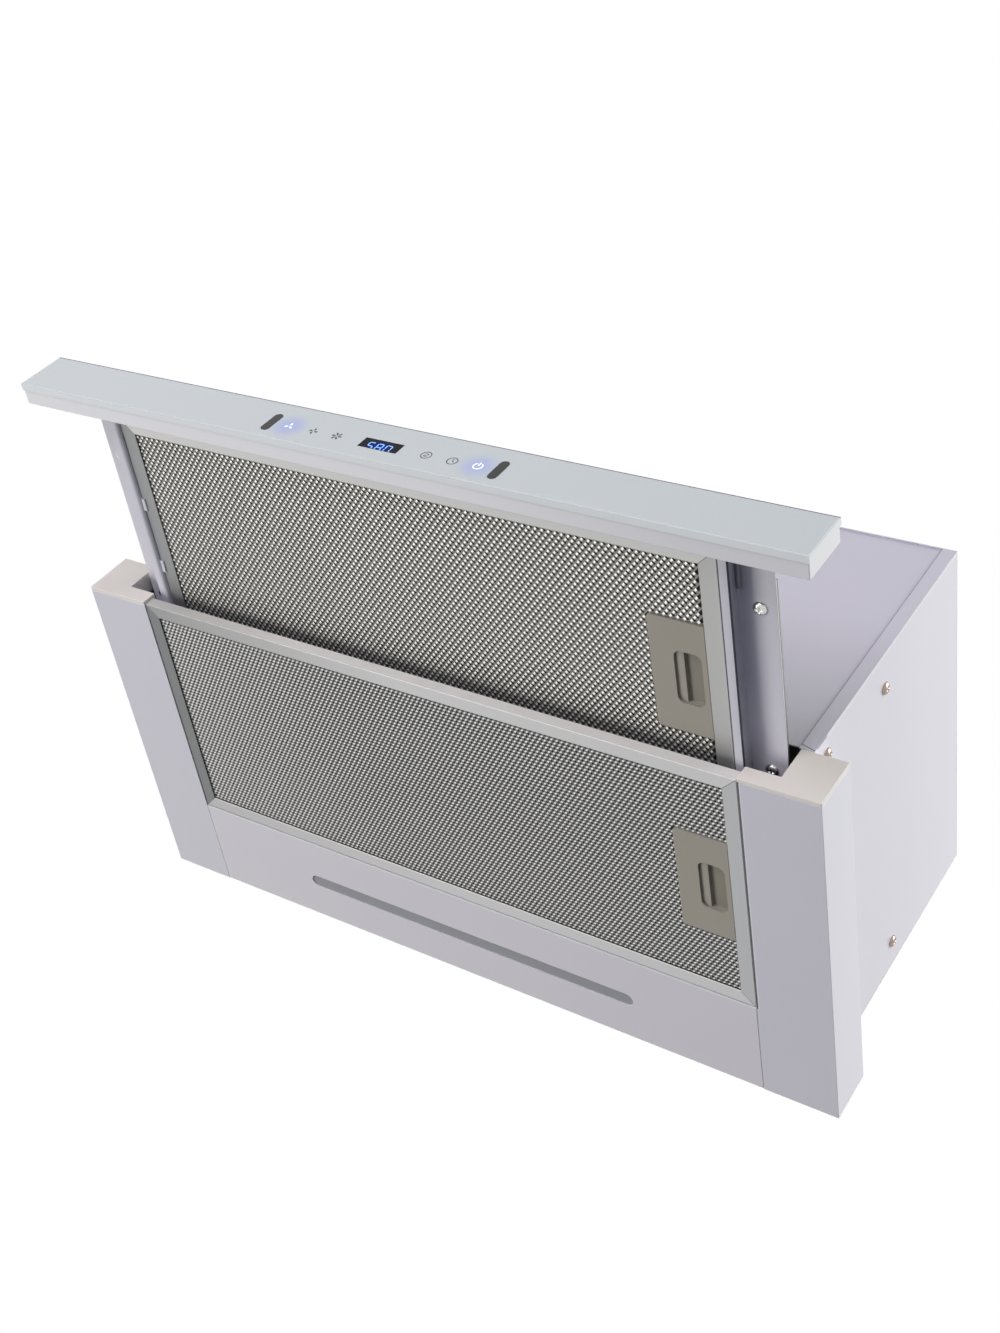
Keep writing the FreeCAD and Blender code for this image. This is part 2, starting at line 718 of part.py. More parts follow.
def outlet():
    """Round collar on the roof with a ledge, two pins and two half-round flaps that lift with the air."""
    base = ("0", COLLAR_Y, "housing_top")
    bore = "(collar_radius - collar_wall)"
    ring = fused("collar_blank", [
        rod("collar_tube", "z", "collar_radius", base, "collar_height"),
        rod("collar_plate", "z", "collar_flange", base, "collar_flange_thickness"),
    ])
    ledge_top = "housing_top + ledge_rise + ledge_height"
    upper = rod("collar_upper_bore", "z", bore, ("0", COLLAR_Y, ledge_top), "collar_height")
    lower = rod("collar_lower_bore", "z", bore, base, "ledge_rise")
    through = rod("collar_through", "z", f"{bore} - ledge_width", base, "collar_height")
    pins = []
    holes = []
    for name, sign in (("front", "-1"), ("rear", "1")):
        y = f"{COLLAR_Y} + {sign} * flap_pin_offset"
        reach = "(collar_radius - collar_wall / 2)"
        pin_start = (f"-{reach}", y, FLAP_PIN_Z)
        pins.append(rod(f"flap_pin_{name}", "x", "flap_pin_radius", pin_start, f"2 * {reach}"))
        bore_radius = "flap_pin_radius + running_fit"
        bore_start = ("-collar_radius", y, FLAP_PIN_Z)
        holes.append(rod(f"pin_hole_{name}", "x", bore_radius, bore_start, "2 * collar_radius"))
        knuckle = ("-flap_knuckle_length / 2", y, FLAP_PIN_Z)
        barrel = rod(f"flap_barrel_{name}", "x", "flap_knuckle_radius", knuckle, "flap_knuckle_length")
        low = f"{FLAP_PIN_Z} - flap_knuckle_radius"
        at = ("0", COLLAR_Y, low)
        disc = rod(f"flap_disc_{name}", "z", f"{bore} - flap_edge_gap", at, "flap_thickness")
        span = {"-1": (f"{COLLAR_Y} - collar_radius", y), "1": (y, f"{COLLAR_Y} + collar_radius")}[sign]
        across = ("-collar_radius", "collar_radius")
        side = box(f"flap_side_{name}", across, span, (low, f"{low} + flap_thickness"))
        leaf = fused(f"flap_leaf_{name}", [common(f"flap_half_{name}", disc, side), barrel])
        pin_bore = rod(f"flap_bore_{name}", "x", bore_radius, bore_start, "2 * collar_radius")
        node(f"{name}_flap", cut(f"flap_{name}_cut", leaf, [pin_bore]))
    node("outlet_collar", cut("collar_cut", ring, [upper, lower, through] + holes))
    node("flap_pins", grouped("flap_pins_group", pins))


def electrics():
    """Control box on the rear brace with its lid, board and capacitor, and the gland for the mains cord."""
    back = BRACE_REAR_WEB
    front = f"{BRACE_REAR_WEB} - box_depth"
    across = ("box_x - box_width / 2", "box_x + box_width / 2")
    upright = ("side_screw_z - box_height / 2", "side_screw_z + box_height / 2")
    shell = box("control_shell", across, (front, back), upright)
    inner = [(f"{low} + box_wall", f"{high} - box_wall") for low, high in (across, upright)]
    hollow = box("control_hollow", inner[0], (f"{front} - box_wall", f"{back} - box_wall"), inner[1])
    node("control_box", cut("control_box_cut", shell, [hollow]))
    node("control_box_lid", box("control_lid", across, (f"{front} - box_lid", front), upright))
    floor = f"{back} - box_wall"
    post = ("box_x - box_wall", "box_x + box_wall")
    board_front = f"{floor} - control_board_gap - board_thickness"
    plate = box("control_plate", inner[0], (board_front, f"{board_front} + board_thickness"), inner[1])
    stand = box("control_stand", post, (f"{board_front} + board_thickness", floor), inner[1])
    node("control_board", fused("control_board_fuse", [plate, stand]))
    at = ("box_x - capacitor_length / 2", f"{board_front} - capacitor_radius", "side_screw_z")
    node("capacitor", rod("capacitor_can", "x", "capacitor_radius", at, "capacitor_length"))

    centre = ("gland_x", "gland_y")
    nut_low = f"{HOUSING_ROOF} - gland_nut_height"
    body = fused("gland_blank", [
        rod("gland_dome", "z", "gland_radius", (*centre, "housing_top"), "gland_rise"),
        rod("gland_thread", "z", "gland_thread_radius", (*centre, nut_low), f"housing_top - ({nut_low})"),
        rod("gland_nut", "z", "gland_nut_radius", (*centre, nut_low), "gland_nut_height"),
    ])
    through = f"housing_top + gland_rise - ({nut_low})"
    bore = rod("gland_bore_tool", "z", "gland_bore", (*centre, nut_low), through)
    node("mains_gland", cut("mains_gland_cut", body, [bore]))


def front_strip():
    """Drawer front: painted channel, glass, touch board, display and the two sensor windows."""
    half = "strip_width / 2"
    low = STRIP_BOTTOM
    high = f"{STRIP_BOTTOM} + strip_height"
    inset = "glass_overhang"
    span = (f"-({half}) + {inset}", f"{half} - {inset}")
    rise = (f"{low} + {inset}", f"{high} - {inset}")
    block = box("strip_block", span, ("-strip_depth", "0"), rise, FRAME_DRAWER)
    inside = [(f"{start} + strip_wall", f"{end} - strip_wall") for start, end in (span, rise)]
    hollow = box("strip_hollow", inside[0], ("-2 * strip_depth", "-strip_wall"), inside[1], FRAME_DRAWER)
    node("strip_body", cut("strip_body_cut", block, [hollow]))

    front = "-strip_depth - glass_thickness"
    pane = box("glass_pane", (f"-({half})", half), (front, "-strip_depth"), (low, high), FRAME_DRAWER)
    windows = []
    pockets = []
    for side, hand in HANDS.items():
        x = f"control_x + {hand} * sensor_spread"
        for kind, depth, found in (
            ("lens", (f"{front} - sensor_proud", f"{front} + sensor_inset"), windows),
            ("pocket", (f"{front} - sensor_inset", f"{front} + sensor_inset"), pockets),
        ):
            found.append(standing_pill(f"sensor_{kind}_{side}", x, depth))
    node("front_glass", cut("front_glass_cut", pane, pockets))
    node("sensor_windows", grouped("sensor_windows_group", windows))

    depth = ("-strip_depth", "-strip_depth + display_depth")
    span = ("control_x - display_width / 2", "control_x + display_width / 2")
    rise = ("control_z - display_height / 2", "control_z + display_height / 2")
    node("display_module", box("display_block", span, depth, rise, FRAME_DRAWER))
    plate = ("-strip_depth + display_depth", "-strip_depth + display_depth + board_thickness")
    length = ("control_x - touch_board_length / 2", "control_x + touch_board_length / 2")
    height = ("control_z - touch_board_height / 2", "control_z + touch_board_height / 2")
    node("touch_board", box("touch_plate", length, plate, height, FRAME_DRAWER))


def standing_pill(name, x, depth):
    """A flat upright shape with round ends, facing the front."""
    half = "(sensor_height - sensor_width) / 2"
    thick = f"({depth[1]}) - ({depth[0]})"
    span = (f"{x} - sensor_width / 2", f"{x} + sensor_width / 2")
    rise = (f"control_z - {half}", f"control_z + {half}")
    pieces = [box(f"{name}_middle", span, depth, rise, FRAME_DRAWER)]
    for sign in ("-", "+"):
        at = (x, depth[0], f"control_z {sign} {half}")
        pieces.append(rod(f"{name}_end", "y", "sensor_width / 2", at, thick, FRAME_DRAWER))
    return fused(name, pieces)


def drawer_arm(side, hand):
    """Folded arm: a plate under the slide, a wall, and a lip that is rolled up beside the filter."""
    bottom = "(arm_lip_z - arm_lip_drop)"

    def bend(radius):
        points = []
        for degrees in (0, 30, 60, 90):
            across, up = (f"{part(math.radians(degrees)):.6f}" for part in (math.cos, math.sin))
            points.append((
                f"arm_lip_inner + arm_bend - {radius} * {across}",
                f"{bottom} + arm_bend - {radius} * {up}",
            ))
        return points

    corners = [("arm_lip_inner", "arm_lip_z + arm_sheet")]
    corners += bend("arm_bend")
    corners += [
        ("arm_wall_x", bottom),
        ("arm_wall_x", "arm_plate_z"),
        ("arm_outer", "arm_plate_z"),
        ("arm_outer", SLIDE_FLOOR),
        ("arm_wall_x - arm_sheet", SLIDE_FLOOR),
        ("arm_wall_x - arm_sheet", f"{bottom} + arm_sheet"),
    ]
    corners += reversed(bend("(arm_bend - arm_sheet)"))
    corners.append(("arm_lip_inner + arm_sheet", "arm_lip_z + arm_sheet"))
    arm = profile(f"arm_fold_{side}", [mirrored(hand, corners)], ("0", "arm_length"), FRAME_DRAWER)
    if side == "left":
        lugs = []
        for sign in ("-1", "1"):
            centre = f"{FILTER_MIDDLE} + {sign} * lug_spread"
            span = (f"{centre} - lug_length / 2", f"{centre} + lug_length / 2")
            below = ("arm_lip_z - arm_sheet", "arm_lip_z")
            inward = ("arm_lip_inner - lug_reach", "arm_lip_inner + arm_sheet")
            lugs.append(hand_box("arm_lug", hand, inward, span, below, FRAME_DRAWER))
        arm = fused("arm_with_lugs", [arm] + lugs)
    holes = []
    for screw_y in ("arm_screw_front", "arm_screw_rear"):
        at = (f"{hand} * arm_screw_x", screw_y, "arm_plate_z - arm_sheet")
        holes.append(rod("arm_hole", "z", "screw_shank / 2 + screw_fit", at, "3 * arm_sheet", FRAME_DRAWER))
    node(f"drawer_arm_{side}", cut(f"drawer_arm_{side}_cut", arm, holes))


def drawer_fittings():
    """Rear rail between the arms, the screws of the slides, and the control cable beside the right arm."""
    reach = "arm_wall_x - arm_sheet"
    back = ("arm_length - rail_depth", "arm_length")
    low = "arm_lip_z + arm_sheet"
    rail = box("rail_block", (f"-({reach})", reach), back, (low, SLIDE_FLOOR), FRAME_DRAWER)
    inside = ("arm_length - rail_depth + arm_sheet", "arm_length - arm_sheet")
    above = (f"{low} + arm_sheet", f"2 * {SLIDE_FLOOR}")
    hollow = box("rail_hollow", (f"-({reach})", reach), inside, above, FRAME_DRAWER)
    node("drawer_rear_rail", cut("drawer_rear_rail_cut", rail, [hollow]))
    screws = []
    for side, hand in HANDS.items():
        for screw_y in ("arm_screw_front", "arm_screw_rear"):
            at = (f"{hand} * arm_screw_x", screw_y, "arm_plate_z")
            length = "arm_sheet + slide_sheet"
            screws.append(domed_screw(f"arm_screw_{side}", at, ("z", 1), length, FRAME_DRAWER))
    node("arm_screws", grouped("arm_screws_group", screws))
    at = ("arm_wall_x + cable_radius + running_fit", "0", "arm_plate_z - cable_radius - running_fit")
    node("control_cable", rod("cable_run", "y", "cable_radius", at, "cable_length", FRAME_DRAWER))


def slide(side, hand):
    """Ball slide lying flat: outer channel under the housing, inner channel on the arm, balls in a cage."""
    wide = "slide_width / 2"
    floor = SLIDE_FLOOR
    rim = f"{SLIDE_FLOOR} + slide_sheet + slide_inner_wall"

    def across(offset):
        return f"{hand} * arm_screw_x + {offset}"

    tray = [
        (across(f"-({wide})"), floor),
        (across(wide), floor),
        (across(wide), rim),
        (across(f"{wide} - slide_sheet"), rim),
        (across(f"{wide} - slide_sheet"), f"{floor} + slide_sheet"),
        (across(f"slide_sheet - {wide}"), f"{floor} + slide_sheet"),
        (across(f"slide_sheet - {wide}"), rim),
        (across(f"-({wide})"), rim),
    ]
    inner = profile(f"slide_tray_{side}", [tray], ("slide_start", "arm_length"), FRAME_DRAWER)
    holes = []
    for screw_y in ("arm_screw_front", "arm_screw_rear"):
        at = (f"{hand} * arm_screw_x", screw_y, f"{floor} - slide_sheet")
        radius = "screw_shank / 2 + screw_fit"
        holes.append(rod("slide_hole", "z", radius, at, "3 * slide_sheet", FRAME_DRAWER))
    node(f"slide_inner_{side}", cut(f"slide_inner_{side}_cut", inner, holes))

    top = "profile_height"
    half = "slide_channel_half"
    bottom = f"{BALL_Z} + cage_sheet / 2 + cage_gap"
    channel = [
        (across(f"-{half}"), bottom),
        (across(f"-{half} + slide_sheet"), bottom),
        (across(f"-{half} + slide_sheet"), f"{top} - slide_sheet"),
        (across(f"{half} - slide_sheet"), f"{top} - slide_sheet"),
        (across(f"{half} - slide_sheet"), bottom),
        (across(half), bottom),
        (across(half), top),
        (across(f"-{half}"), top),
    ]
    span = ("slide_outer_start", "slide_outer_start + slide_outer_length")
    node(f"slide_outer_{side}", profile(f"slide_channel_{side}", [channel], span))

    length = "(ball_count * ball_pitch)"
    run = ("cage_start", f"cage_start + {length}")
    reach = f"{BALL_X} + ball_radius - running_fit"
    level = (f"{BALL_Z} - cage_sheet / 2", f"{BALL_Z} + cage_sheet / 2")
    strip = box(f"cage_strip_{side}", (across(f"-({reach})"), across(f"{reach}")), run, level, FRAME_CAGE)
    balls = []
    sockets = []
    for number in range(int(value("ball_count"))):
        y = f"cage_start + {number} * ball_pitch + ball_pitch / 2"
        for sign in ("-1", "1"):
            at = (across(f"{sign} * {BALL_X}"), y)
            balls.append(ball(f"ball_{side}", at, "ball_radius"))
            sockets.append(ball(f"socket_{side}", at, "ball_radius + running_fit"))
    cage = cut(f"cage_plate_{side}", strip, sockets)
    node(f"slide_cage_{side}", grouped(f"slide_cage_{side}_group", [cage] + balls))


def ball(name, at, radius):
    piece = doc.addObject("Part::Sphere", name)
    place(piece, FRAME_CAGE, (*at, f"{SLIDE_FLOOR} + slide_sheet + ball_radius + running_fit"))
    piece.setExpression("Radius", linked(radius))
    return piece


def filter_unit(name, half, border, front, z, frame):
    """Grease filter: folded aluminium frame, mesh pack, latch case and its spring slider."""
    across = (f"-{half}", half)
    along = (front, f"{front} + filter_length")
    upright = (z, f"{z} + filter_height")
    block = box(f"{name}_block", across, along, upright, frame)
    open_x = (f"-{half} + {border}", f"{half} - {border}")
    open_y = (f"{front} + {border}", f"{front} + filter_length - {border}")
    through = (f"{z} - filter_height", f"{z} + 2 * filter_height")
    window = box(f"{name}_window", open_x, open_y, through, frame)
    groove = [(f"{low} + filter_wall", f"{high} - filter_wall") for low, high in (across, along, upright)]
    middle = f"{front} + filter_length / 2"
    bolt_z = f"{z} + latch_height / 2"
    bolt_rise = "bolt_height / 2 + slider_fit"
    bolt_slot = box(
        f"{name}_bolt_slot",
        (f"{half} - 2 * filter_wall", f"{half} + filter_wall"),
        (f"{middle} - bolt_width / 2 - slider_fit", f"{middle} + bolt_width / 2 + slider_fit"),
        (f"{bolt_z} - ({bolt_rise})", f"{bolt_z} + {bolt_rise}"),
        frame,
    )
    frame_cut = cut(f"{name}_channel", block, [window, box(f"{name}_groove", *groove, frame), bolt_slot])
    if name == "rear_filter":
        tongues = []
        rise = (f"{z} + tongue_rise", f"{z} + tongue_rise + tongue_sheet")
        for sign in ("-1", "1"):
            centre = f"{middle} + {sign} * tongue_spread"
            span = (f"{centre} - tongue_length / 2", f"{centre} + tongue_length / 2")
            reach = (f"-{half} - tongue_reach", f"-{half} + filter_wall / 2")
            tongues.append(box("tongue", reach, span, rise, frame))
        frame_cut = fused(f"{name}_with_tongues", [frame_cut] + tongues)
    node(f"{name}_frame", frame_cut)

    edge = f"{half} - {border}"
    case_x = (f"{edge} - latch_width", f"{edge} - mesh_fit")
    case_y = (f"{middle} - latch_length / 2", f"{middle} + latch_length / 2")
    fill = [(f"{low} + mesh_fit", f"{high} - mesh_fit") for low, high in groove]
    pack = box(f"{name}_pack", *fill, frame)
    recess = box(
        f"{name}_recess",
        (f"{case_x[0]} - mesh_fit", half),
        (f"{case_y[0]} - mesh_fit", f"{case_y[1]} + mesh_fit"),
        through,
        frame,
    )
    node(f"{name}_mesh", cut(f"{name}_mesh_cut", pack, [recess]))
    latch(name, edge, case_x, case_y, middle, half, z, frame)


def latch(name, edge, case_x, case_y, middle, half, z, frame):
    """Latch case with a rounded finger window, and the slider whose bolt holds the filter."""
    top = f"{z} + latch_height"
    ceiling = f"{top} - latch_face"
    floor = f"{z} + latch_face"
    win_x = (f"{edge} - window_from_edge - window_width", f"{edge} - window_from_edge")
    win_y = (f"{middle} - window_length / 2", f"{middle} + window_length / 2")
    rounded = rounded_block(f"{name}_case", case_x, case_y, (z, top), "case_radius", frame)
    square = box(f"{name}_case_edge", (win_x[0], case_x[1]), case_y, (z, top), frame)
    blank = fused(f"{name}_case_blank", [rounded, square])
    seat = "slider_length / 2 + slider_fit"
    cavity = box(
        f"{name}_cavity",
        (f"{win_x[0]} - slider_overlap - latch_travel - 2 * slider_fit", f"{edge} + latch_face"),
        (f"{middle} - ({seat})", f"{middle} + {seat}"),
        (floor, ceiling),
        frame,
    )
    below = (f"{z} - latch_face", floor)
    window = rounded_block(f"{name}_window_tool", win_x, win_y, below, "window_radius", frame)
    case = cut(f"{name}_latch_case_cut", blank, [cavity, window])
    prefix = name.split("_")[0]
    node(f"{prefix}_latch_case", case)

    low = f"{floor} + slider_fit"
    high = f"{ceiling} - slider_fit"
    right = f"{edge} - mesh_fit"
    body = box(
        f"{name}_slider_block",
        (f"{win_x[0]} - slider_overlap", right),
        (f"{middle} - slider_length / 2", f"{middle} + slider_length / 2"),
        (low, high),
        frame,
    )
    bolt = box(
        f"{name}_bolt",
        (right, f"{half} + bolt_reach"),
        (f"{middle} - bolt_width / 2", f"{middle} + bolt_width / 2"),
        (f"{z} + latch_height / 2 - bolt_height / 2", f"{z} + latch_height / 2 + bolt_height / 2"),
        frame,
    )
    pocket = box(
        f"{name}_finger_pocket",
        (f"{win_x[0]} + slider_step", f"{win_x[1]} + latch_travel / 2"),
        (f"{win_y[0]} + slider_fit", f"{win_y[1]} - slider_fit"),
        (z, f"{high} - slider_floor"),
        frame,
    )
    slider = fused(f"{name}_slider_blank", [body, bolt])
    node(f"{prefix}_latch_slider", cut(f"{name}_slider_cut", slider, [pocket]))


def rounded_block(name, x, y, z, radius, frame):
    """A block whose upright edges are round."""
    height = f"({z[1]}) - ({z[0]})"
    pieces = [
        box(f"{name}_long", (f"{x[0]} + {radius}", f"{x[1]} - {radius}"), y, z, frame),
        box(f"{name}_wide", x, (f"{y[0]} + {radius}", f"{y[1]} - {radius}"), z, frame),
    ]
    for corner_x in (f"{x[0]} + {radius}", f"{x[1]} - {radius}"):
        for corner_y in (f"{y[0]} + {radius}", f"{y[1]} - {radius}"):
            pieces.append(rod(f"{name}_corner", "z", radius, (corner_x, corner_y, z[0]), height, frame))
    return fused(name, pieces)


def main():
    for side, hand in HANDS.items():
        side_panel(side, hand)
        side_profile(side, hand)
        drawer_arm(side, hand)
        slide(side, hand)
    front_panel()
    rear_panel()
    top_panel()
    braces()
    side_screws()
    lamp()
    scroll()
    impeller()
    motor()
    outlet()
    electrics()
    front_strip()
    drawer_fittings()
    for name, z, frame in (("rear", "rear_filter_z", FRAME_HOOD), ("drawer", "arm_lip_z", FRAME_DRAWER)):
        unit = f"{name}_filter"
        filter_unit(unit, f"{unit}_half", f"{name}_border", f"{unit}_front", z, frame)
    doc.recompute()
    for item in doc.Objects:
        if "Invalid" in item.State or "Error" in item.State:
            raise RuntimeError(f"{item.Label} did not build: {item.State}")
    for piece in NODES:
        if piece.Shape.isNull() or not piece.Shape.isValid() or not piece.Shape.Solids:
            raise RuntimeError(f"{piece.Label} has no valid solid")
    os.makedirs("parts", exist_ok=True)
    for piece in NODES:
        piece.Shape.exportStep(f"parts/{piece.Label}.step")
        print(f"{piece.Label}: {len(piece.Shape.Solids)} solids, {piece.Shape.Volume:.1f} mm3")


main()
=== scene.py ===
import json
import math
from collections import namedtuple

import bpy
from mathutils import Matrix, Vector

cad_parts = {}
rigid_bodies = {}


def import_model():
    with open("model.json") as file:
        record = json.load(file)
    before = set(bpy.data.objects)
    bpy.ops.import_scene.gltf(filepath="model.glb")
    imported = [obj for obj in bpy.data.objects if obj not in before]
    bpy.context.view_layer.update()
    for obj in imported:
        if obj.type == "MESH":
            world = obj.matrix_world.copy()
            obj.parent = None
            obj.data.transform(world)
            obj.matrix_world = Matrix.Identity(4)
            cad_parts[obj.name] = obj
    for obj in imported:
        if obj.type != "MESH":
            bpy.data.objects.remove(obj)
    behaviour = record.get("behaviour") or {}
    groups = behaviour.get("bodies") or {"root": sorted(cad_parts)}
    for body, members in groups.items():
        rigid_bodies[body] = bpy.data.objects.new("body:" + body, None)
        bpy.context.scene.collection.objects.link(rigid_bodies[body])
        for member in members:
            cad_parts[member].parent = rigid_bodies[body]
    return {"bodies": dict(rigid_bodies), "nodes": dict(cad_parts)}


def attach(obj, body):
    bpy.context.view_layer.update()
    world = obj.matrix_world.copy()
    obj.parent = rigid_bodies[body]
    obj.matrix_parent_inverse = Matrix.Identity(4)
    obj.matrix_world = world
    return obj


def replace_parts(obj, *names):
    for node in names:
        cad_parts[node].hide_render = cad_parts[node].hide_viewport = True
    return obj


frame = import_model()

NODES = frame["nodes"]
kept = set(NODES.values()) | set(frame["bodies"].values())
for item in list(bpy.data.objects):
    if item not in kept:
        bpy.data.objects.remove(item)
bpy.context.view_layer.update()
scene = bpy.context.scene

# Places are given in millimetres in the hood's own frame: x from the middle, y from the front
# plane of the side profiles towards the wall, z up from the underside.
MM = 0.001
WALL_POINT = Vector((0, 283, 200))
DRAWER_SHIFT = -159.4
GLASS_Y = DRAWER_SHIFT - 16.0

# Filters: half of the width, width of the frame's rails, front edge and underside.
Filter = namedtuple("Filter", "half rail front low")
REAR_FILTER = Filter(half=242.2, rail=10.3, front=2.0, low=0.5)
DRAWER_FILTER = Filter(half=231.6, rail=11.8, front=9.2 + DRAWER_SHIFT, low=18.4)
HALF_DEPTH = 99.5


def at(x, y, z):
    """A place in the hood's frame, in metres from the point on the wall."""
    return (Vector((x, y, z)) - WALL_POINT) * MM


def linear(code):
    """A colour written as sRGB hex, as the linear values that a shader takes."""
    levels = [int(code[i:i + 2], 16) / 255 for i in (1, 3, 5)]
    return tuple(v / 12.92 if v <= 0.04045 else ((v + 0.055) / 1.055) ** 2.4 for v in levels) + (1.0,)


def add(tree, kind, inputs=None, **settings):
    """Adds a node with its settings, and gives each input a value or a link."""
    item = tree.nodes.new(kind)
    for key, setting in settings.items():
        setattr(item, key, setting)
    for key, source in (inputs or {}).items():
        if isinstance(source, bpy.types.NodeSocket):
            tree.links.new(source, item.inputs[key])
        else:
            item.inputs[key].default_value = source
    return item


# Materials

# Places of a mix node's two colours among its inputs, and of the result among its outputs.
ONE, OTHER, MIXED = 6, 7, 2


def start(name):
    """An empty material, with its output and the place on the object in metres."""
    material = bpy.data.materials.new(name)
    material.use_nodes = True
    tree = material.node_tree
    tree.nodes.clear()
    output = add(tree, "ShaderNodeOutputMaterial")
    place = add(tree, "ShaderNodeTexCoord").outputs["Object"]
    return material, tree, output, place


def mottle(tree, place, size, stretch=(1, 1, 1)):
    """Cloudy patches that many millimetres wide, drawn out along an axis by a stretch."""
    scaled = add(tree, "ShaderNodeMapping", {"Vector": place, "Scale": [1 / s for s in stretch]})
    inputs = {"Vector": scaled.outputs[0], "Scale": 1 / (size * MM), "Detail": 2.0}
    return add(tree, "ShaderNodeTexNoise", inputs).outputs["Fac"]


def finish(name, light, dark, patch, rough, grain, relief, metallic=0.0, stretch=(1, 1, 1), edge=0.0,
           layers=(), **extra):
    """A surface with two close shades in patches, and a fine grain that varies its gloss and relief.

    patch and grain are widths and relief is a height, in millimetres. rough gives the least and the
    most roughness. edge is the radius to which its sharp edges are rounded, in millimetres. layers are
    further colours, each with a mask of where the surface has it.
    """
    material, tree, output, place = start(name)
    fine = mottle(tree, place, grain, stretch)
    shades = {"Factor": mottle(tree, place, patch), ONE: linear(light), OTHER: linear(dark)}
    colour = add(tree, "ShaderNodeMix", shades, data_type="RGBA").outputs[MIXED]
    gloss = add(tree, "ShaderNodeMapRange", {"Value": fine, "To Min": rough[0], "To Max": rough[1]})
    bump = add(tree, "ShaderNodeBump", {"Height": fine, "Distance": relief * MM, "Strength": 1.0})
    if edge:
        worn = add(tree, "ShaderNodeBevel", {"Radius": edge * MM}, samples=6)
        tree.links.new(worn.outputs[0], bump.inputs["Normal"])
    for code, mask in layers:
        shades = {"Factor": mask(tree, place), ONE: colour, OTHER: linear(code)}
        colour = add(tree, "ShaderNodeMix", shades, data_type="RGBA").outputs[MIXED]
    inputs = {"Base Color": colour, "Roughness": gloss.outputs[0], "Normal": bump.outputs[0],
              "Metallic": metallic}
    inputs.update(extra)
    shader = add(tree, "ShaderNodeBsdfPrincipled", inputs)
    tree.links.new(shader.outputs[0], output.inputs["Surface"])
    return material


def ramp(axis, begin, end):
    """Mask that grows from none to full between two places on an axis."""
    def mask(tree, place):
        along = add(tree, "ShaderNodeSeparateXYZ", {0: place}).outputs[axis]
        first, last = ((v - WALL_POINT["XYZ".index(axis)]) * MM for v in (begin, end))
        inputs = {"Value": along, "From Min": first, "From Max": last}
        return add(tree, "ShaderNodeMapRange", inputs).outputs[0]
    return mask


def overlap(one, other):
    """Mask of where two masks meet."""
    def mask(tree, place):
        values = {0: one(tree, place), 1: other(tree, place)}
        return add(tree, "ShaderNodeMath", values, operation="MULTIPLY").outputs[0]
    return mask


def cross_rails(screen):
    """Mask of a filter frame's front and rear rails, as far as the mitres."""
    middle = at(0, screen.front + HALF_DEPTH, 0).y

    def mask(tree, place):
        axes = add(tree, "ShaderNodeSeparateXYZ", {0: place}).outputs
        insets = []
        for axis, centre, reach in (("X", 0.0, screen.half), ("Y", middle, HALF_DEPTH)):
            offset = add(tree, "ShaderNodeMath", {0: axes[axis], 1: centre}, operation="SUBTRACT")
            away = add(tree, "ShaderNodeMath", {0: offset.outputs[0]}, operation="ABSOLUTE")
            inset = add(tree, "ShaderNodeMath", {0: reach * MM, 1: away.outputs[0]}, operation="SUBTRACT")
            insets.append(inset.outputs[0])
        nearer = add(tree, "ShaderNodeMath", {0: insets[1], 1: insets[0]}, operation="LESS_THAN")
        return nearer.outputs[0]
    return mask


# Powder coat on folded steel: a lavender white with faint orange peel that softens reflections.
COAT = {"patch": 60, "rough": (0.26, 0.34), "edge": 0.5, "Coat Weight": 0.25, "Coat Roughness": 0.2}
PAINT = finish("powder_coated_steel", "#E9E7EF", "#E5E3EC", grain=1.4, relief=0.006, **COAT)
# The outer sides of the profiles: a finer coat, painted whiter as painted light.
SIDE = finish("powder_coated_steel_painted_light", "#F4F3FC", "#F1F0F9", grain=1.0, relief=0.004, **COAT)
# The lamp panel's coat: a little whiter.
PANEL = finish("powder_coated_steel_white", "#EFECF1", "#EBE8EE", grain=1.4, relief=0.006, **COAT)
# Folds of the panels: a bright line, a painted highlight on their rounded edges.
FOLD_PAINTED_HIGHLIGHT = finish("painted_fold_highlight", "#FFFFFF", "#FCFBFE", patch=60, rough=(0.15, 0.2), grain=1.4,
               relief=0.002)
# The drawer front's coat: whiter and glossier than the housing's; painted shade makes it a little greyer at
# the right.
STRIP_RIGHT_PAINTED_SHADE = overlap(ramp("X", 60, 240), ramp("X", 298, 297.5))
STRIP = finish("gloss_coated_steel_white", "#FEFDFF", "#FBFAFD", patch=60, rough=(0.2, 0.28), grain=1.4,
               relief=0.004, edge=0.5, layers=(("#EEEDEF", STRIP_RIGHT_PAINTED_SHADE),),
               **{"Coat Weight": 0.5, "Coat Roughness": 0.12})
# Moulded end caps: warm off-white with a fine matt spark-eroded grain.
CAP = finish("moulded_abs_warm_white", "#FFF9EE", "#FBF4E9", patch=30, rough=(0.42, 0.52), grain=0.5,
             relief=0.01)
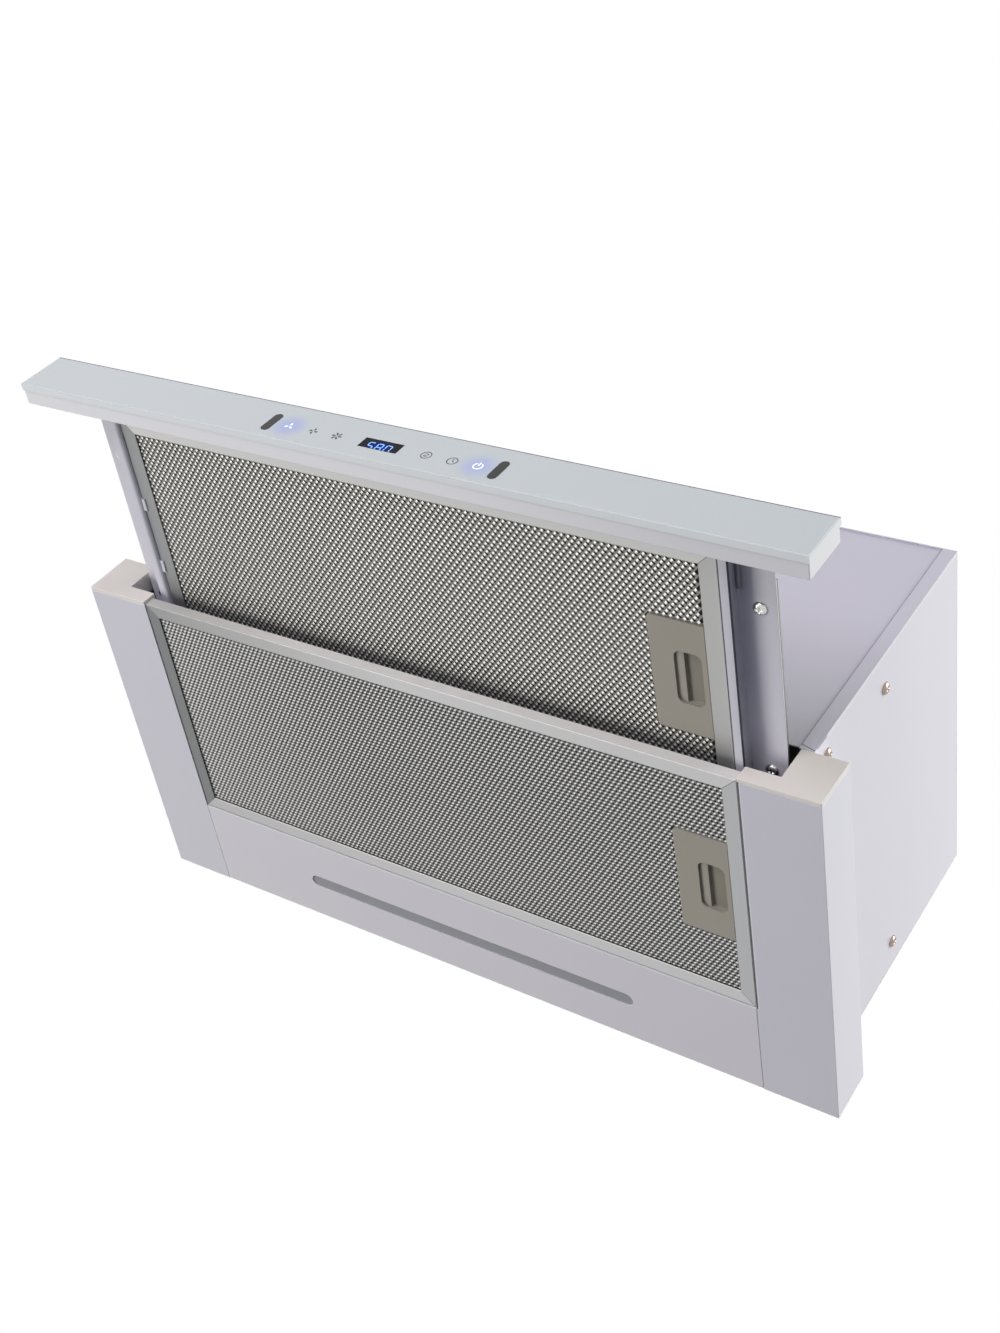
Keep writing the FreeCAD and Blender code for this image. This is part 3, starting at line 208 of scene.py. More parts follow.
# Folded filter frames: satin grey with fine rolling lines, coarser than real ones so that they show.
# Painted sheen: the rails that run across the hood are painted lighter, as the sheen along their rolling
# lines, at the rear filter with painted shade at the front left, and of those along it the right one is
# painted paler.
ROLLED = (60, 1, 1)
SATIN = {"patch": 40, "rough": (0.36, 0.46), "grain": 0.35, "relief": 0.003, "metallic": 0.4,
         "stretch": ROLLED}
RIGHT_RAIL_PAINTED_SHEEN = ramp("X", 200, 201)
CROSS_RAIL_PAINTED_SHEEN = cross_rails(REAR_FILTER)
FRONT_LEFT_PAINTED_SHADE = overlap(overlap(CROSS_RAIL_PAINTED_SHEEN, ramp("X", -10, -250)), ramp("Y", 300, 0))
REAR_FRAME = finish("anodised_aluminium_satin", "#818282", "#7B7C7C", **SATIN,
                    layers=(("#BEBFC0", RIGHT_RAIL_PAINTED_SHEEN), ("#D1D1D0", CROSS_RAIL_PAINTED_SHEEN), ("#989898", FRONT_LEFT_PAINTED_SHADE)))
DRAWER_FRAME = finish("anodised_aluminium_pale", "#9A9B9B", "#939495", **SATIN,
                      layers=(("#BBBBB9", RIGHT_RAIL_PAINTED_SHEEN), ("#D2D2D0", cross_rails(DRAWER_FILTER))))
# Their front faces: a painted reflection, bright, with painted shade that dulls it at the left.
FRONT_FACE_PAINTED_REFLECTION = finish("aluminium_front_painted_reflection", "#FAF7EF", "#F0EDE5", patch=40, rough=(0.3, 0.4), grain=0.35,
               relief=0.002, stretch=ROLLED, layers=(("#CAC7C0", ramp("X", -110, -250)),))
# Slit and stretched foil: satin bands with torn, slightly uneven faces.
FOIL = {"patch": 1.2, "grain": 0.4, "metallic": 0.3}
MESH = finish("expanded_aluminium_foil", "#97958F", "#8B8984", rough=(0.3, 0.42), relief=0.01, **FOIL)
# The rear filter's foil: darker than the drawer's as painted shade, and painted lighter at the left as
# painted light.
REAR_MESH_PAINTED_SHADE = finish("expanded_aluminium_painted_shade", "#868684", "#797977", rough=(0.36, 0.48), relief=0.01, **FOIL,
                layers=(("#9D9C9A", ramp("X", -60, -240)),))
# Knuckles of the foil: a painted highlight on the faces that turn to the light.
KNUCKLE_PAINTED_HIGHLIGHT = finish("foil_painted_highlight", "#FFFEFB", "#F6F4EF", rough=(0.26, 0.36), relief=0.004, **FOIL)
# Inside of the mesh pack: a dark block in place of the inner layers, painted shade where the light does not
# reach.
CORE_PAINTED_SHADE = finish("mesh_core_painted_shade", "#302C29", "#231F1D", patch=2.0, rough=(0.6, 0.8), grain=0.8,
              relief=0.05, metallic=0.3)
# Latch parts: beige grey plastic with a soft sheen.
LATCH = finish("moulded_pp_beige_grey", "#AFAA9C", "#A9A496", patch=25, rough=(0.4, 0.5), grain=0.6,
               relief=0.006)
# Floors of the finger pockets: the same plastic, darkened as painted shade.
POCKET_PAINTED_SHADE = finish("moulded_pp_painted_shade", "#928D80", "#8B8679", patch=25, rough=(0.5, 0.6), grain=0.6,
              relief=0.006)
# Channel of the side profiles: painted shade, dark inside, with a band of painted light near the front.
CHANNEL_PAINTED_SHADE = finish("profile_channel_painted_shade", "#4A4845", "#3C3A38", patch=6, rough=(0.5, 0.6), grain=0.8,
             relief=0.004, layers=(("#EFEAE4", ramp("Y", 17, 13)),))
# Inner walls of the drawer's arms: the coat, greyed as painted shade.
ARM_WALL_PAINTED_SHADE = finish("arm_wall_painted_shade", "#CED0DC", "#C7C9D5", patch=20, rough=(0.4, 0.5), grain=1.4,
                relief=0.006)
# Foot of those walls, behind the lips: a dark blue grey painted shadow.
LIP_PAINTED_SHADOW = finish("lip_painted_shadow", "#5B5E6C", "#525563", patch=20, rough=(0.5, 0.6), grain=1.4, relief=0.006)
# Zinc plated slides and braces: dull olive grey with cloudy crystals.
ZINC = finish("zinc_plated_steel", "#8E908A", "#777A74", patch=4, rough=(0.3, 0.45), grain=0.8,
              relief=0.004, metallic=1.0)
# Screws: bright nickel with light handling marks.
NICKEL = finish("nickel_plated_steel", "#D2D3CF", "#B9BBB6", patch=2, rough=(0.14, 0.26), grain=0.4,
                relief=0.002, metallic=1.0)
# Side screws: passivated zinc, warm and duller than the nickel.
PASSIVE = finish("passivated_zinc_steel", "#AE9E94", "#95867D", patch=2, rough=(0.2, 0.32), grain=0.4,
                 relief=0.002, metallic=1.0)
# Balls of the slides: polished steel.
BALL = finish("polished_ball_steel", "#D6D6D6", "#C8C8C8", patch=2, rough=(0.06, 0.12), grain=0.3,
              relief=0.0005, metallic=1.0)
# Collar, flaps and gland: black plastic with a fine grain.
BLACK = finish("moulded_pa_black", "#1B1B1E", "#151517", patch=20, rough=(0.35, 0.5), grain=0.5, relief=0.01)
# Sensor windows: smoked polycarbonate, deep and glossy.
SMOKED = finish("smoked_polycarbonate", "#0B0B0F", "#08080B", patch=10, rough=(0.05, 0.09), grain=2.0,
                relief=0.0005)
# Blower and control box: grey plastic with an even, dull face.
GREY = finish("moulded_pp_grey", "#6F7274", "#67696B", patch=25, rough=(0.45, 0.55), grain=0.6, relief=0.01)
# Circuit boards: green solder mask over the weave.
BOARD = finish("solder_masked_laminate", "#1F5A35", "#184A2B", patch=3, rough=(0.3, 0.45), grain=0.5,
               relief=0.01)
# Lamp cover: frosted acrylic, greyed as painted shade of the dark space behind it.
FROST = finish("frosted_acrylic", "#A5A7A9", "#9EA0A3", patch=12, rough=(0.5, 0.6), grain=0.4, relief=0.004)
# Light sources: soft, matt yellow phosphor.
PHOSPHOR = finish("phosphor_silicone", "#E9DB9C", "#DCCB82", patch=1, rough=(0.4, 0.5), grain=0.3,
                  relief=0.004)
# Motor and capacitor: dipped grey paint, slightly wavy.
DIPPED = finish("dipped_grey_enamel", "#55585B", "#4A4D50", patch=12, rough=(0.35, 0.5), grain=1.0,
                relief=0.02)
# Cable: smooth grey sheath.
SHEATH = finish("pvc_sheath_grey", "#8E909A", "#858791", patch=6, rough=(0.4, 0.5), grain=0.4, relief=0.004)
# Printed key icons: dark grey ceramic ink.
INK = finish("screen_printed_ink", "#2A2E34", "#24282E", patch=0.6, rough=(0.3, 0.4), grain=0.2,
             relief=0.0005)
# Bevel of the glass: a painted highlight, bright and slightly green.
BEVEL_PAINTED_HIGHLIGHT = finish("glass_bevel_painted_highlight", "#F7FCFB", "#F0F6F5", patch=3, rough=(0.3, 0.4), grain=0.4,
                relief=0.001)
# Upper edge of the glass: a dull mauve grey painted shade, the drawer front's top edge in shadow behind it.
TOP_EDGE_PAINTED_SHADE = finish("glass_top_painted_shade", "#857E8B", "#7B7481", patch=3, rough=(0.4, 0.5), grain=0.4, relief=0.001)
# Seams between folded or mitred sheets: a dark hairline; the same dark line is painted shadow in gaps between
# parts.
SEAM_AND_GAP_SHADOW = finish("shadowed_seam", "#6C6D70", "#5A5B5E", patch=2, rough=(0.6, 0.7), grain=0.4, relief=0.001)
# Display window: a navy filter that hides what is dark behind it and hardly reflects.
DISPLAY = finish("display_filter_navy", "#05071A", "#040515", patch=4, rough=(0.12, 0.2), grain=1.0,
                 relief=0.0005, **{"Specular IOR Level": 0.1})


def glass():
    """Tempered glass painted white behind: pale grey green, brighter at its ground edges."""
    material, tree, output, place = start("back_painted_tempered_glass")
    face = add(tree, "ShaderNodeNewGeometry").outputs["True Normal"]
    normal = add(tree, "ShaderNodeSeparateXYZ", {0: face}).outputs["Y"]
    limits = {"Value": normal, "From Min": -0.95, "From Max": -0.5}
    turned = add(tree, "ShaderNodeMapRange", limits).outputs[0]
    shades = {"Factor": mottle(tree, place, 80), ONE: linear("#DFE8E4"), OTHER: linear("#DBE4E1")}
    front = add(tree, "ShaderNodeMix", shades, data_type="RGBA").outputs[MIXED]
    shades = {"Factor": turned, ONE: front, OTHER: linear("#F0F6F6")}
    colour = add(tree, "ShaderNodeMix", shades, data_type="RGBA").outputs[MIXED]
    rough = add(tree, "ShaderNodeMapRange", {"Value": turned, "To Min": 0.2, "To Max": 0.35}).outputs[0]
    inputs = {"Base Color": colour, "Roughness": rough, "Coat Weight": 1.0, "Coat Roughness": 0.02}
    shader = add(tree, "ShaderNodeBsdfPrincipled", inputs)
    tree.links.new(shader.outputs[0], output.inputs["Surface"])
    return material


def lit(name, code, strength, fade=None):
    """A light shining through the glass. With fade, a point and a reach, it dies away round the point."""
    material, tree, output, place = start(name)
    glow = add(tree, "ShaderNodeEmission", {"Color": linear(code), "Strength": strength}).outputs[0]
    if fade:
        point, reach = fade
        away = add(tree, "ShaderNodeVectorMath", {0: place, 1: point}, operation="DISTANCE")
        limits = {"Value": away.outputs["Value"], "From Min": 0.0, "From Max": reach,
                  "To Min": 0.6, "To Max": 0.0}
        weight = add(tree, "ShaderNodeMapRange", limits, interpolation_type="SMOOTHSTEP").outputs[0]
        clear = add(tree, "ShaderNodeBsdfTransparent").outputs[0]
        glow = add(tree, "ShaderNodeMixShader", {0: weight, 1: clear, 2: glow}).outputs[0]
    tree.links.new(glow, output.inputs["Surface"])
    return material


GLASS = glass()
# Keys that are on: cold white light through the clear print.
LIGHT_ICON = lit("led_through_glass", "#F4F6FF", 1.6)
# Figures of the display: blue light.
DIGIT = lit("display_segment_blue", "#86B2FF", 1.8)

LOOKS = {
    PAINT: "side_panel_left side_panel_right front_panel rear_panel top_panel side_profile_left "
           "side_profile_right drawer_arm_left drawer_arm_right drawer_rear_rail",
    PANEL: "lamp_panel",
    STRIP: "strip_body",
    CAP: "end_cap_left end_cap_right",
    GLASS: "front_glass",
    REAR_FRAME: "rear_filter_frame",
    DRAWER_FRAME: "drawer_filter_frame",
    LATCH: "rear_latch_case rear_latch_slider drawer_latch_case drawer_latch_slider",
    ZINC: "front_brace rear_brace slide_outer_left slide_outer_right slide_inner_left slide_inner_right "
          "motor_bracket motor_shaft flap_pins",
    BALL: "slide_cage_left slide_cage_right",
    SMOKED: "sensor_windows display_module",
    BLACK: "mains_gland outlet_collar front_flap rear_flap",
    GREY: "blower_scroll_left blower_scroll_right impeller control_box control_box_lid",
    BOARD: "led_board control_board touch_board",
    FROST: "lamp_diffuser",
    PHOSPHOR: "led_chips",
    DIPPED: "motor_body capacitor",
    SHEATH: "control_cable",
    NICKEL: "arm_screws",
    PASSIVE: "side_screws",
    CORE_PAINTED_SHADE: "rear_filter_mesh drawer_filter_mesh",
}
for material, names in LOOKS.items():
    for name in names.split():
        NODES[name].data.materials.clear()
        NODES[name].data.materials.append(material)


def part_look(names, material, chosen):
    """Gives a second look to the faces that a test on their middle, in millimetres, and normal picks."""
    for name in names.split():
        piece = NODES[name]
        piece.data.materials.append(material)
        for face in piece.data.polygons:
            middle = piece.matrix_world @ face.center / MM + WALL_POINT
            if chosen(middle, face.normal):
                face.material_index = len(piece.data.materials) - 1


# How squarely a face has to look along an axis, and where the faces lie: the channel's height and least
# distance from the middle, the profiles' outer sides, the arms' walls, and the pockets' floors above the
# underside of each latch, the drawer's latch being one step higher than the rear one.
SQUARE = 0.7
CHANNEL_LOW = 12
CHANNEL_X = 250
OUTSIDE_X = 297
ARM_WALL = (200, 250)
LATCH_STEP = 17.9
POCKET_FLOOR = 3.5
PROFILES = "side_profile_left side_profile_right"
# Painted reflection on the filter frames' front faces.
part_look("rear_filter_frame drawer_filter_frame", FRONT_FACE_PAINTED_REFLECTION, lambda middle, normal: normal.y < -SQUARE)
# Painted shade inside the profiles' channels.
part_look(PROFILES, CHANNEL_PAINTED_SHADE, lambda middle, normal: (
    middle.x * normal.x < -SQUARE * CHANNEL_X and middle.z > CHANNEL_LOW))
# Painted light on the profiles' outer sides.
part_look(PROFILES, SIDE, lambda middle, normal: abs(normal.x) > SQUARE and abs(middle.x) > OUTSIDE_X)
# Painted shade on the arms' inner walls.
part_look("drawer_arm_left drawer_arm_right", ARM_WALL_PAINTED_SHADE, lambda middle, normal: (
    normal.x * middle.x > 0.9 * ARM_WALL[0] and ARM_WALL[0] < abs(middle.x) < ARM_WALL[1]))
# Painted shade on the latch pockets' floors.
part_look("drawer_latch_slider rear_latch_slider", POCKET_PAINTED_SHADE, lambda middle, normal: (
    normal.z < -SQUARE and middle.z % LATCH_STEP > POCKET_FLOOR))

# Folded and moulded edges are slightly round: radius in millimetres.
EDGES = {
    0.5: "side_profile_left side_profile_right strip_body end_cap_left end_cap_right",
    0.35: "rear_filter_frame drawer_filter_frame",
    0.7: "rear_latch_case drawer_latch_case",
    0.4: "rear_latch_slider drawer_latch_slider",
}
for radius, names in EDGES.items():
    for name in names.split():
        piece = NODES[name]
        normals = piece.data.attributes.get("custom_normal")
        if normals:
            piece.data.attributes.remove(normals)
        weld = piece.modifiers.new("joined_corners", "WELD")
        weld.merge_threshold = 0.001 * MM
        bevel = piece.modifiers.new("soft_edges", "BEVEL")
        bevel.width = radius * MM
        bevel.segments = 3
        bevel.limit_method = "ANGLE"
        bevel.angle_limit = math.radians(40)
        bevel.use_clamp_overlap = True
        bevel.harden_normals = True


# Shapes

def build(name, points, faces, material, body, smooth=False):
    """A mesh piece from points in millimetres in the hood's frame."""
    mesh = bpy.data.meshes.new(name)
    mesh.from_pydata([at(*p) for p in points], [], faces)
    mesh.materials.append(material)
    mesh.polygons.foreach_set("use_smooth", [smooth] * len(faces))
    mesh.update()
    piece = bpy.data.objects.new(name, mesh)
    scene.collection.objects.link(piece)
    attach(piece, body)
    return piece


# Foils: spacing of the openings along x and y, width of the bands along x, height of the bridges, and
# their share of the bands' length.
Foil = namedtuple("Foil", "cell row band rise bridge")
REAR_FOIL = Foil(cell=3.77, row=3.0, band=1.85, rise=0.3, bridge=0.5)
DRAWER_FOIL = Foil(cell=4.63, row=2.9, band=1.5, rise=0.6, bridge=0.6)
# Steps over a bridge, which starts and ends a little inside the bands, and the height of its sides as a
# share of its middle's. The bridges lie a hair off the bands.
BRIDGE_STEPS = (-0.1, 0.2, 0.5, 0.8, 1.1)
SIDE_RISE = 0.35
BRIDGE_LIFT = 0.02
FACES_PER_CELL = 10


def expanded(x_span, y_span, level, up, hole, foil):
    """A sheet of expanded metal: slanting bands, joined by raised bridges that leave openings.

    up is -1 where the bridges stand out below and 1 where they stand out above. Nothing crosses the hole.
    """
    points, faces = [], []
    lean = foil.cell / 2 / foil.row
    along = Vector((lean, -1)).normalized()
    over = Vector((-along.y, along.x))
    gap = (foil.cell - foil.band) * over.x
    half = foil.bridge / 2 * math.hypot(foil.cell / 2, foil.row)
    clear = 0.5
    for r in range(int((y_span[1] - y_span[0]) / foil.row)):
        y = y_span[0] + (r + 0.5) * foil.row
        for c in range(int((x_span[1] - x_span[0]) / foil.cell)):
            x = x_span[0] + (c + 0.5 * (r % 2)) * foil.cell
            in_x = hole[0] + clear < x + foil.cell / 2 < hole[1]
            if in_x and hole[2] + clear < y < hole[3] - clear:
                continue
            first = len(points)
            for edge_x in (x + foil.cell - foil.band, x + foil.cell):
                points += [(edge_x - lean * foil.row * t, y + foil.row * t, level) for t in (0.5, 0.0, -0.5)]
            faces += [(k, k + 1, k + 4, k + 3) for k in (first, first + 1)]
            first += 6
            for step in BRIDGE_STEPS:
                arch = math.sin(math.pi * min(max(step, 0.0), 1.0))
                for side in (-1, 0, 1):
                    spot = Vector((x, y)) + over * gap * step + along * half * side
                    height = BRIDGE_LIFT + foil.rise * arch * (SIDE_RISE if side else 1.0)
                    points.append((spot.x, spot.y, level + up * height))
            for k in range(len(BRIDGE_STEPS) - 1):
                for s in (0, 1):
                    corner = first + 3 * k + s
                    faces.append((corner, corner + 1, corner + 4, corner + 3))
    return points, faces


# How far the mesh reaches under the rails, the opening for the latch case, and the heights of the sheets
# and of the painted shade core's faces above the filter's underside.
TUCK = 2
CASE_WIDTH = 38.5
CASE_HALF = 42.5
SHEETS = (("near", 1.3, -1), ("top", 7.2, 1))
PACKED = (2.2, 6.3)


def mesh_pack(name, node, body, screen, foil, material, bright):
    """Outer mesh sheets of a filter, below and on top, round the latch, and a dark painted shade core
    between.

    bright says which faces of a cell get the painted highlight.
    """
    high_x = screen.half - screen.rail + TUCK
    low_x = -high_x
    low_y = screen.front + screen.rail - TUCK
    high_y = screen.front + 2 * HALF_DEPTH - screen.rail + TUCK
    middle = screen.front + HALF_DEPTH
    hole = (screen.half - screen.rail - CASE_WIDTH, screen.half, middle - CASE_HALF, middle + CASE_HALF)
    for layer, height, up in SHEETS:
        points, faces = expanded((low_x, high_x), (low_y, high_y), screen.low + height, up, hole, foil)
        sheet = build(f"{name}_{layer}", points, faces, material, body, True)
        sheet.data.materials.append(KNUCKLE_PAINTED_HIGHLIGHT)
        looks = [int(k % FACES_PER_CELL in bright) for k in range(len(faces))]
        sheet.data.polygons.foreach_set("material_index", looks)
        if layer == "near":
            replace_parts(sheet, node)
    outline = [(low_x, low_y), (high_x, low_y), (high_x, hole[2]), (hole[0], hole[2]), (hole[0], hole[3]),
               (high_x, hole[3]), (high_x, high_y), (low_x, high_y)]
    count = len(outline)
    points = [(x, y, screen.low + height) for height in PACKED for x, y in outline]
    faces = [tuple(range(count)), tuple(range(2 * count - 1, count - 1, -1))]
    faces += [(k, k + count, (k + 1) % count + count, (k + 1) % count) for k in range(count)]
    build(f"{name}_core", points, faces, CORE_PAINTED_SHADE, body)


mesh_pack("rear_mesh", "rear_filter_mesh", "housing", REAR_FILTER, REAR_FOIL, REAR_MESH_PAINTED_SHADE, (0,))
mesh_pack("drawer_mesh", "drawer_filter_mesh", "drawer", DRAWER_FILTER, DRAWER_FOIL, MESH, (2, 3, 4, 5))


# Controls on the glass, drawn in x and z on its face

# How far the print stands off the glass, so that it shows.
PROUD = 0.04
# A blade of the fan icons: shares of its length and of its width.
BLADE = ((0.12, 0.0), (0.45, -0.5), (0.85, -0.5), (1.0, 0.0), (0.8, 0.35), (0.45, 0.1))


def on_glass(name, outline, material, lift=PROUD):
    """A flat printed or lit shape on the glass, from outlines in x and z."""
    points, faces = [], []
    for loop in outline:
        first = len(points)
        points += [(x, GLASS_Y - lift, z) for x, z in loop]
        faces.append(tuple(range(first, first + len(loop))))
    return build(name, points, faces, material, "drawer")


def box(left, right, low, high):
    """Corners of an upright rectangle."""
    return [(left, low), (right, low), (right, high), (left, high)]


def bar(x0, z0, x1, z1, width):
    """Corners of a straight bar from one point to another."""
    along = Vector((x1 - x0, z1 - z0)).normalized() * width / 2
    side = Vector((-along.y, along.x))
    return [(x0 + side.x, z0 + side.y), (x0 - side.x, z0 - side.y), (x1 - side.x, z1 - side.y),
            (x1 + side.x, z1 + side.y)]


def ring_arc(x, z, radius, width, begin=0, end=360, steps=32):
    """Quads along an arc, angles in degrees from +x."""
    inner, outer = radius - width / 2, radius + width / 2
    loops = []
    for k in range(steps):
        a, b = (math.radians(begin + (end - begin) * t / steps) for t in (k, k + 1))
        corners = ((inner, a), (outer, a), (outer, b), (inner, b))
        loops.append([(x + r * math.cos(t), z + r * math.sin(t)) for r, t in corners])
    return loops


def fan_blades(x, z, count, length, width, turn):
    """Curved blades round a point."""
    loops = []
    for k in range(count):
        angle = math.radians(turn + 360 * k / count)
        along = Vector((math.cos(angle), math.sin(angle))) * length
        across = Vector((-math.sin(angle), math.cos(angle))) * width
        spots = [along * s + across * t for s, t in BLADE]
        loops.append([(x + spot.x, z + spot.y) for spot in spots])
    return loops


# Keys: three speeds, recirculation, timer and power, the first and the last one lit.
KEY_Z = 16.0
TIMER_Z = 15.7
SPEED_1, SPEED_2, SPEED_3 = -67.9, -48.3, -29.4
RECIRCULATE, TIMER, POWER = 39.8, 59.3, 77.7
on_glass("icon_speed_1", fan_blades(SPEED_1, KEY_Z, 3, 3.4, 1.7, 90), LIGHT_ICON)
on_glass("icon_speed_2", fan_blades(SPEED_2, KEY_Z, 4, 3.4, 1.7, 0), INK)
on_glass("icon_speed_3", fan_blades(SPEED_3, KEY_Z, 6, 4.0, 1.7, 0), INK)
ring = ring_arc(RECIRCULATE, KEY_Z, 3.5, 0.65)
stroke = bar(38.4, 14.8, 41.2, 17.2, 0.5)
turns = [loop for begin, end in ((20, 150), (200, 330))
         for loop in ring_arc(RECIRCULATE, KEY_Z, 1.6, 0.4, begin, end, 10)]
on_glass("icon_recirculate", ring + [stroke] + turns, INK)
ring = ring_arc(TIMER, TIMER_Z, 3.5, 0.65)
hands = [bar(TIMER, TIMER_Z, x, z, 0.55) for x, z in ((TIMER, 18.0), (60.9, 14.6))]
on_glass("icon_timer", ring + hands, INK)
ring = ring_arc(POWER, KEY_Z, 3.0, 0.8, 120, 420, 28)
on_glass("icon_power", ring + [bar(POWER, 16.4, POWER, 20.0, 0.8)], LIGHT_ICON)
# Glow round the lit keys: its reach and the height that it covers.
HALO = 16
HALO_LOW, HALO_HIGH = 1, 32
for number, x in enumerate((SPEED_1, POWER)):
    halo = lit(f"led_halo_{number}", "#C3CCFF", 0.85, (at(x, GLASS_Y, KEY_Z), HALO * MM))
    on_glass(f"halo_{number}", [box(x - HALO, x + HALO, HALO_LOW, HALO_HIGH)], halo, PROUD / 2)

# Edges of the glass: a painted highlight on the bevel round its face, and a line of painted shade along the
# top of it.
HALF_GLASS = 299
GLASS_LOW, GLASS_HIGH = -1, 39
BEVEL = 1.3
TOP_LINE = 0.8
rim_in = box(BEVEL - HALF_GLASS, HALF_GLASS - BEVEL, GLASS_LOW + BEVEL, GLASS_HIGH - BEVEL)
rim_out = box(-HALF_GLASS, HALF_GLASS, GLASS_LOW, GLASS_HIGH)
rim = [[rim_out[k], rim_out[k - 3], rim_in[k - 3], rim_in[k]] for k in range(4)]
on_glass("glass_bevel", rim, BEVEL_PAINTED_HIGHLIGHT, PROUD / 2)
top_line = box(-HALF_GLASS, HALF_GLASS, GLASS_HIGH - TOP_LINE, GLASS_HIGH)
on_glass("glass_top_line", [top_line], TOP_EDGE_PAINTED_SHADE, PROUD)

# Display: a dark window with lit figures, cut off at its lower edge, and their glow.
WINDOW_LOW = 10.8
on_glass("display_window", [box(-9.5, 20.0, WINDOW_LOW, 21.3)], DISPLAY, PROUD)

# Bars of a figure, each from end to end in steps across and up, and the bars that each figure has.
SEGMENTS = {"a": (0, 2, 1, 2), "b": (1, 1, 1, 2), "c": (1, 0, 1, 1), "d": (0, 0, 1, 0), "e": (0, 0, 0, 1),
            "f": (0, 1, 0, 2), "g": (0, 1, 1, 1)}
DIGITS = {"5": "afgcd", "8": "abcdefg", "0": "abcdef"}
SEGMENT_WIDTH = 0.8
SEGMENT_GAP = 0.3
CUT = WINDOW_LOW + 0.2


def digits(text, x, z, width, height, gap):
    """Seven-segment figures, cut off where the window ends."""
    loops = []
    for k, figure in enumerate(text):
        left = x + k * (width + gap)
        for segment in DIGITS[figure]:
            u0, v0, u1, v1 = SEGMENTS[segment]
            ax, bx = left + u0 * width, left + u1 * width
            az, bz = z + v0 * height / 2, z + v1 * height / 2
            if max(az, bz) <= WINDOW_LOW + SEGMENT_GAP:
                continue
            az, bz = max(az, CUT), max(bz, CUT)
            gap_x, gap_z = SEGMENT_GAP * (bx > ax), SEGMENT_GAP * (bz > az)
            loops.append(bar(ax + gap_x, az + gap_z, bx - gap_x, bz - gap_z, SEGMENT_WIDTH))
    return loops


# The glow behind the figures: blue light that spreads in the window.
glow = lit("display_glow_blue", "#2450C8", 0.7, (at(5.3, GLASS_Y, 12), 11 * MM))
on_glass("display_glow", [box(-8, 19, WINDOW_LOW + 0.3, 20)], glow, 1.5 * PROUD)
on_glass("display_figures", digits("580", -3.2, 9.6, 4.0, 7.6, 2.6), DIGIT, 2 * PROUD)


# Screw heads with a cross recess

HEAD_RADIUS = 4.5
DOME_RADIUS = 4.6
DOME_HEIGHT = 2.6
DOME_FOOT = 0.1
CROSS_HALF = 0.55
CROSS_REACH = 2.5
CROSS_FLOOR = 1.2
CROSS_SLOPE = 0.25
RINGS, SPOKES = 14, 48


def head_height(u, v):
    """Height of a head over its seat, at a distance each way from its middle."""
    reach = max(abs(u), abs(v))
    dome = DOME_HEIGHT * math.sqrt(max(0.0, 1 - (u * u + v * v) / DOME_RADIUS ** 2)) + DOME_FOOT
    crossed = min(abs(u), abs(v)) < CROSS_HALF and reach < CROSS_REACH
    return min(dome, CROSS_FLOOR + CROSS_SLOPE * reach) if crossed else dome


def screw_heads(name, places, body, material):
    """Domed heads pressed with a cross, each at a point with the direction that it faces."""
    points, faces = [], []
    for centre, facing in places:
        turn = Vector(facing).to_track_quat("Z", "Y")
        first = len(points)
        local = [(0, 0, head_height(0, 0))]
        for r in range(1, RINGS + 2):
            radius = HEAD_RADIUS * min(r, RINGS) / RINGS
            for s in range(SPOKES):
                u, v = (radius * f(2 * math.pi * s / SPOKES) for f in (math.cos, math.sin))
                local.append((u, v, head_height(u, v) if r <= RINGS else 0.0))
        points += [tuple(Vector(centre) + turn @ Vector(p)) for p in local]
        for s in range(SPOKES):
            n = (s + 1) % SPOKES
            faces.append((first, first + 1 + s, first + 1 + n))
            for r in range(RINGS):
                a, b = first + 1 + r * SPOKES, first + 1 + (r + 1) * SPOKES
                faces.append((a + s, b + s, b + n, a + n))
    return build(name, points, faces, material, body, True)


SIDE_PANEL_X = 275
ARM_SCREW_X = 252
ARM_SCREW_Z = 28.6
side_places = [((hand * SIDE_PANEL_X, y, z), (hand, 0, 0)) for hand in (-1, 1)
               for y, z in ((27.5, 143.5), (260, 143.5), (14.5, 56.4))]
arm_places = [((hand * ARM_SCREW_X, y + DRAWER_SHIFT, ARM_SCREW_Z), (0, 0, -1)) for hand in (-1, 1)
              for y in (50.4, 172.4)]
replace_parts(screw_heads("side_screw_heads", side_places, "housing", PASSIVE), "side_screws")
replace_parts(screw_heads("arm_screw_heads", arm_places, "drawer", NICKEL), "arm_screws")


# Seams, painted gap shadows and painted highlights on folds

# How far a line stands off the face that it lies on.
HAIR = 0.02
MITRE_WIDTH = 0.35
MITRE_INSET = 0.4


def mitres(name, body, screen):
    """Seams across the four corners of a filter frame."""
    points, faces = [], []
    middle = screen.front + HALF_DEPTH
    for sx in (-1, 1):
        for sy in (-1, 1):
            ends = [(sx * (screen.half - inset), middle + sy * (HALF_DEPTH - inset))
                    for inset in (MITRE_INSET, screen.rail)]
            faces.append(tuple(range(len(points), len(points) + 4)))
            points += [(x, y, screen.low - HAIR) for x, y in bar(*ends[0], *ends[1], MITRE_WIDTH)]
    build(name, points, faces, SEAM_AND_GAP_SHADOW, body)


def hairline(name, body, line, axis, level, width, material=SEAM_AND_GAP_SHADOW):
    """A thin line on a flat face, from point to point in its two axes; level is its place on the third."""
    third = "xyz".index(axis)
    points = [spot[:third] + (level,) + spot[third:] for spot in bar(*line, width)]
    build(name, points, [(0, 1, 2, 3)], material, body)


ARM_FRONT, ARM_REAR = DRAWER_SHIFT + 0.5, 98
PROFILE_FRONT, PROFILE_REAR = 2.5, 201.5
LIP_X = 239.2
FOLD_X = 264.55
FOLD_LOW = 44
GAP_X = 233.95
fold_face = SIDE_PANEL_X + 0.03
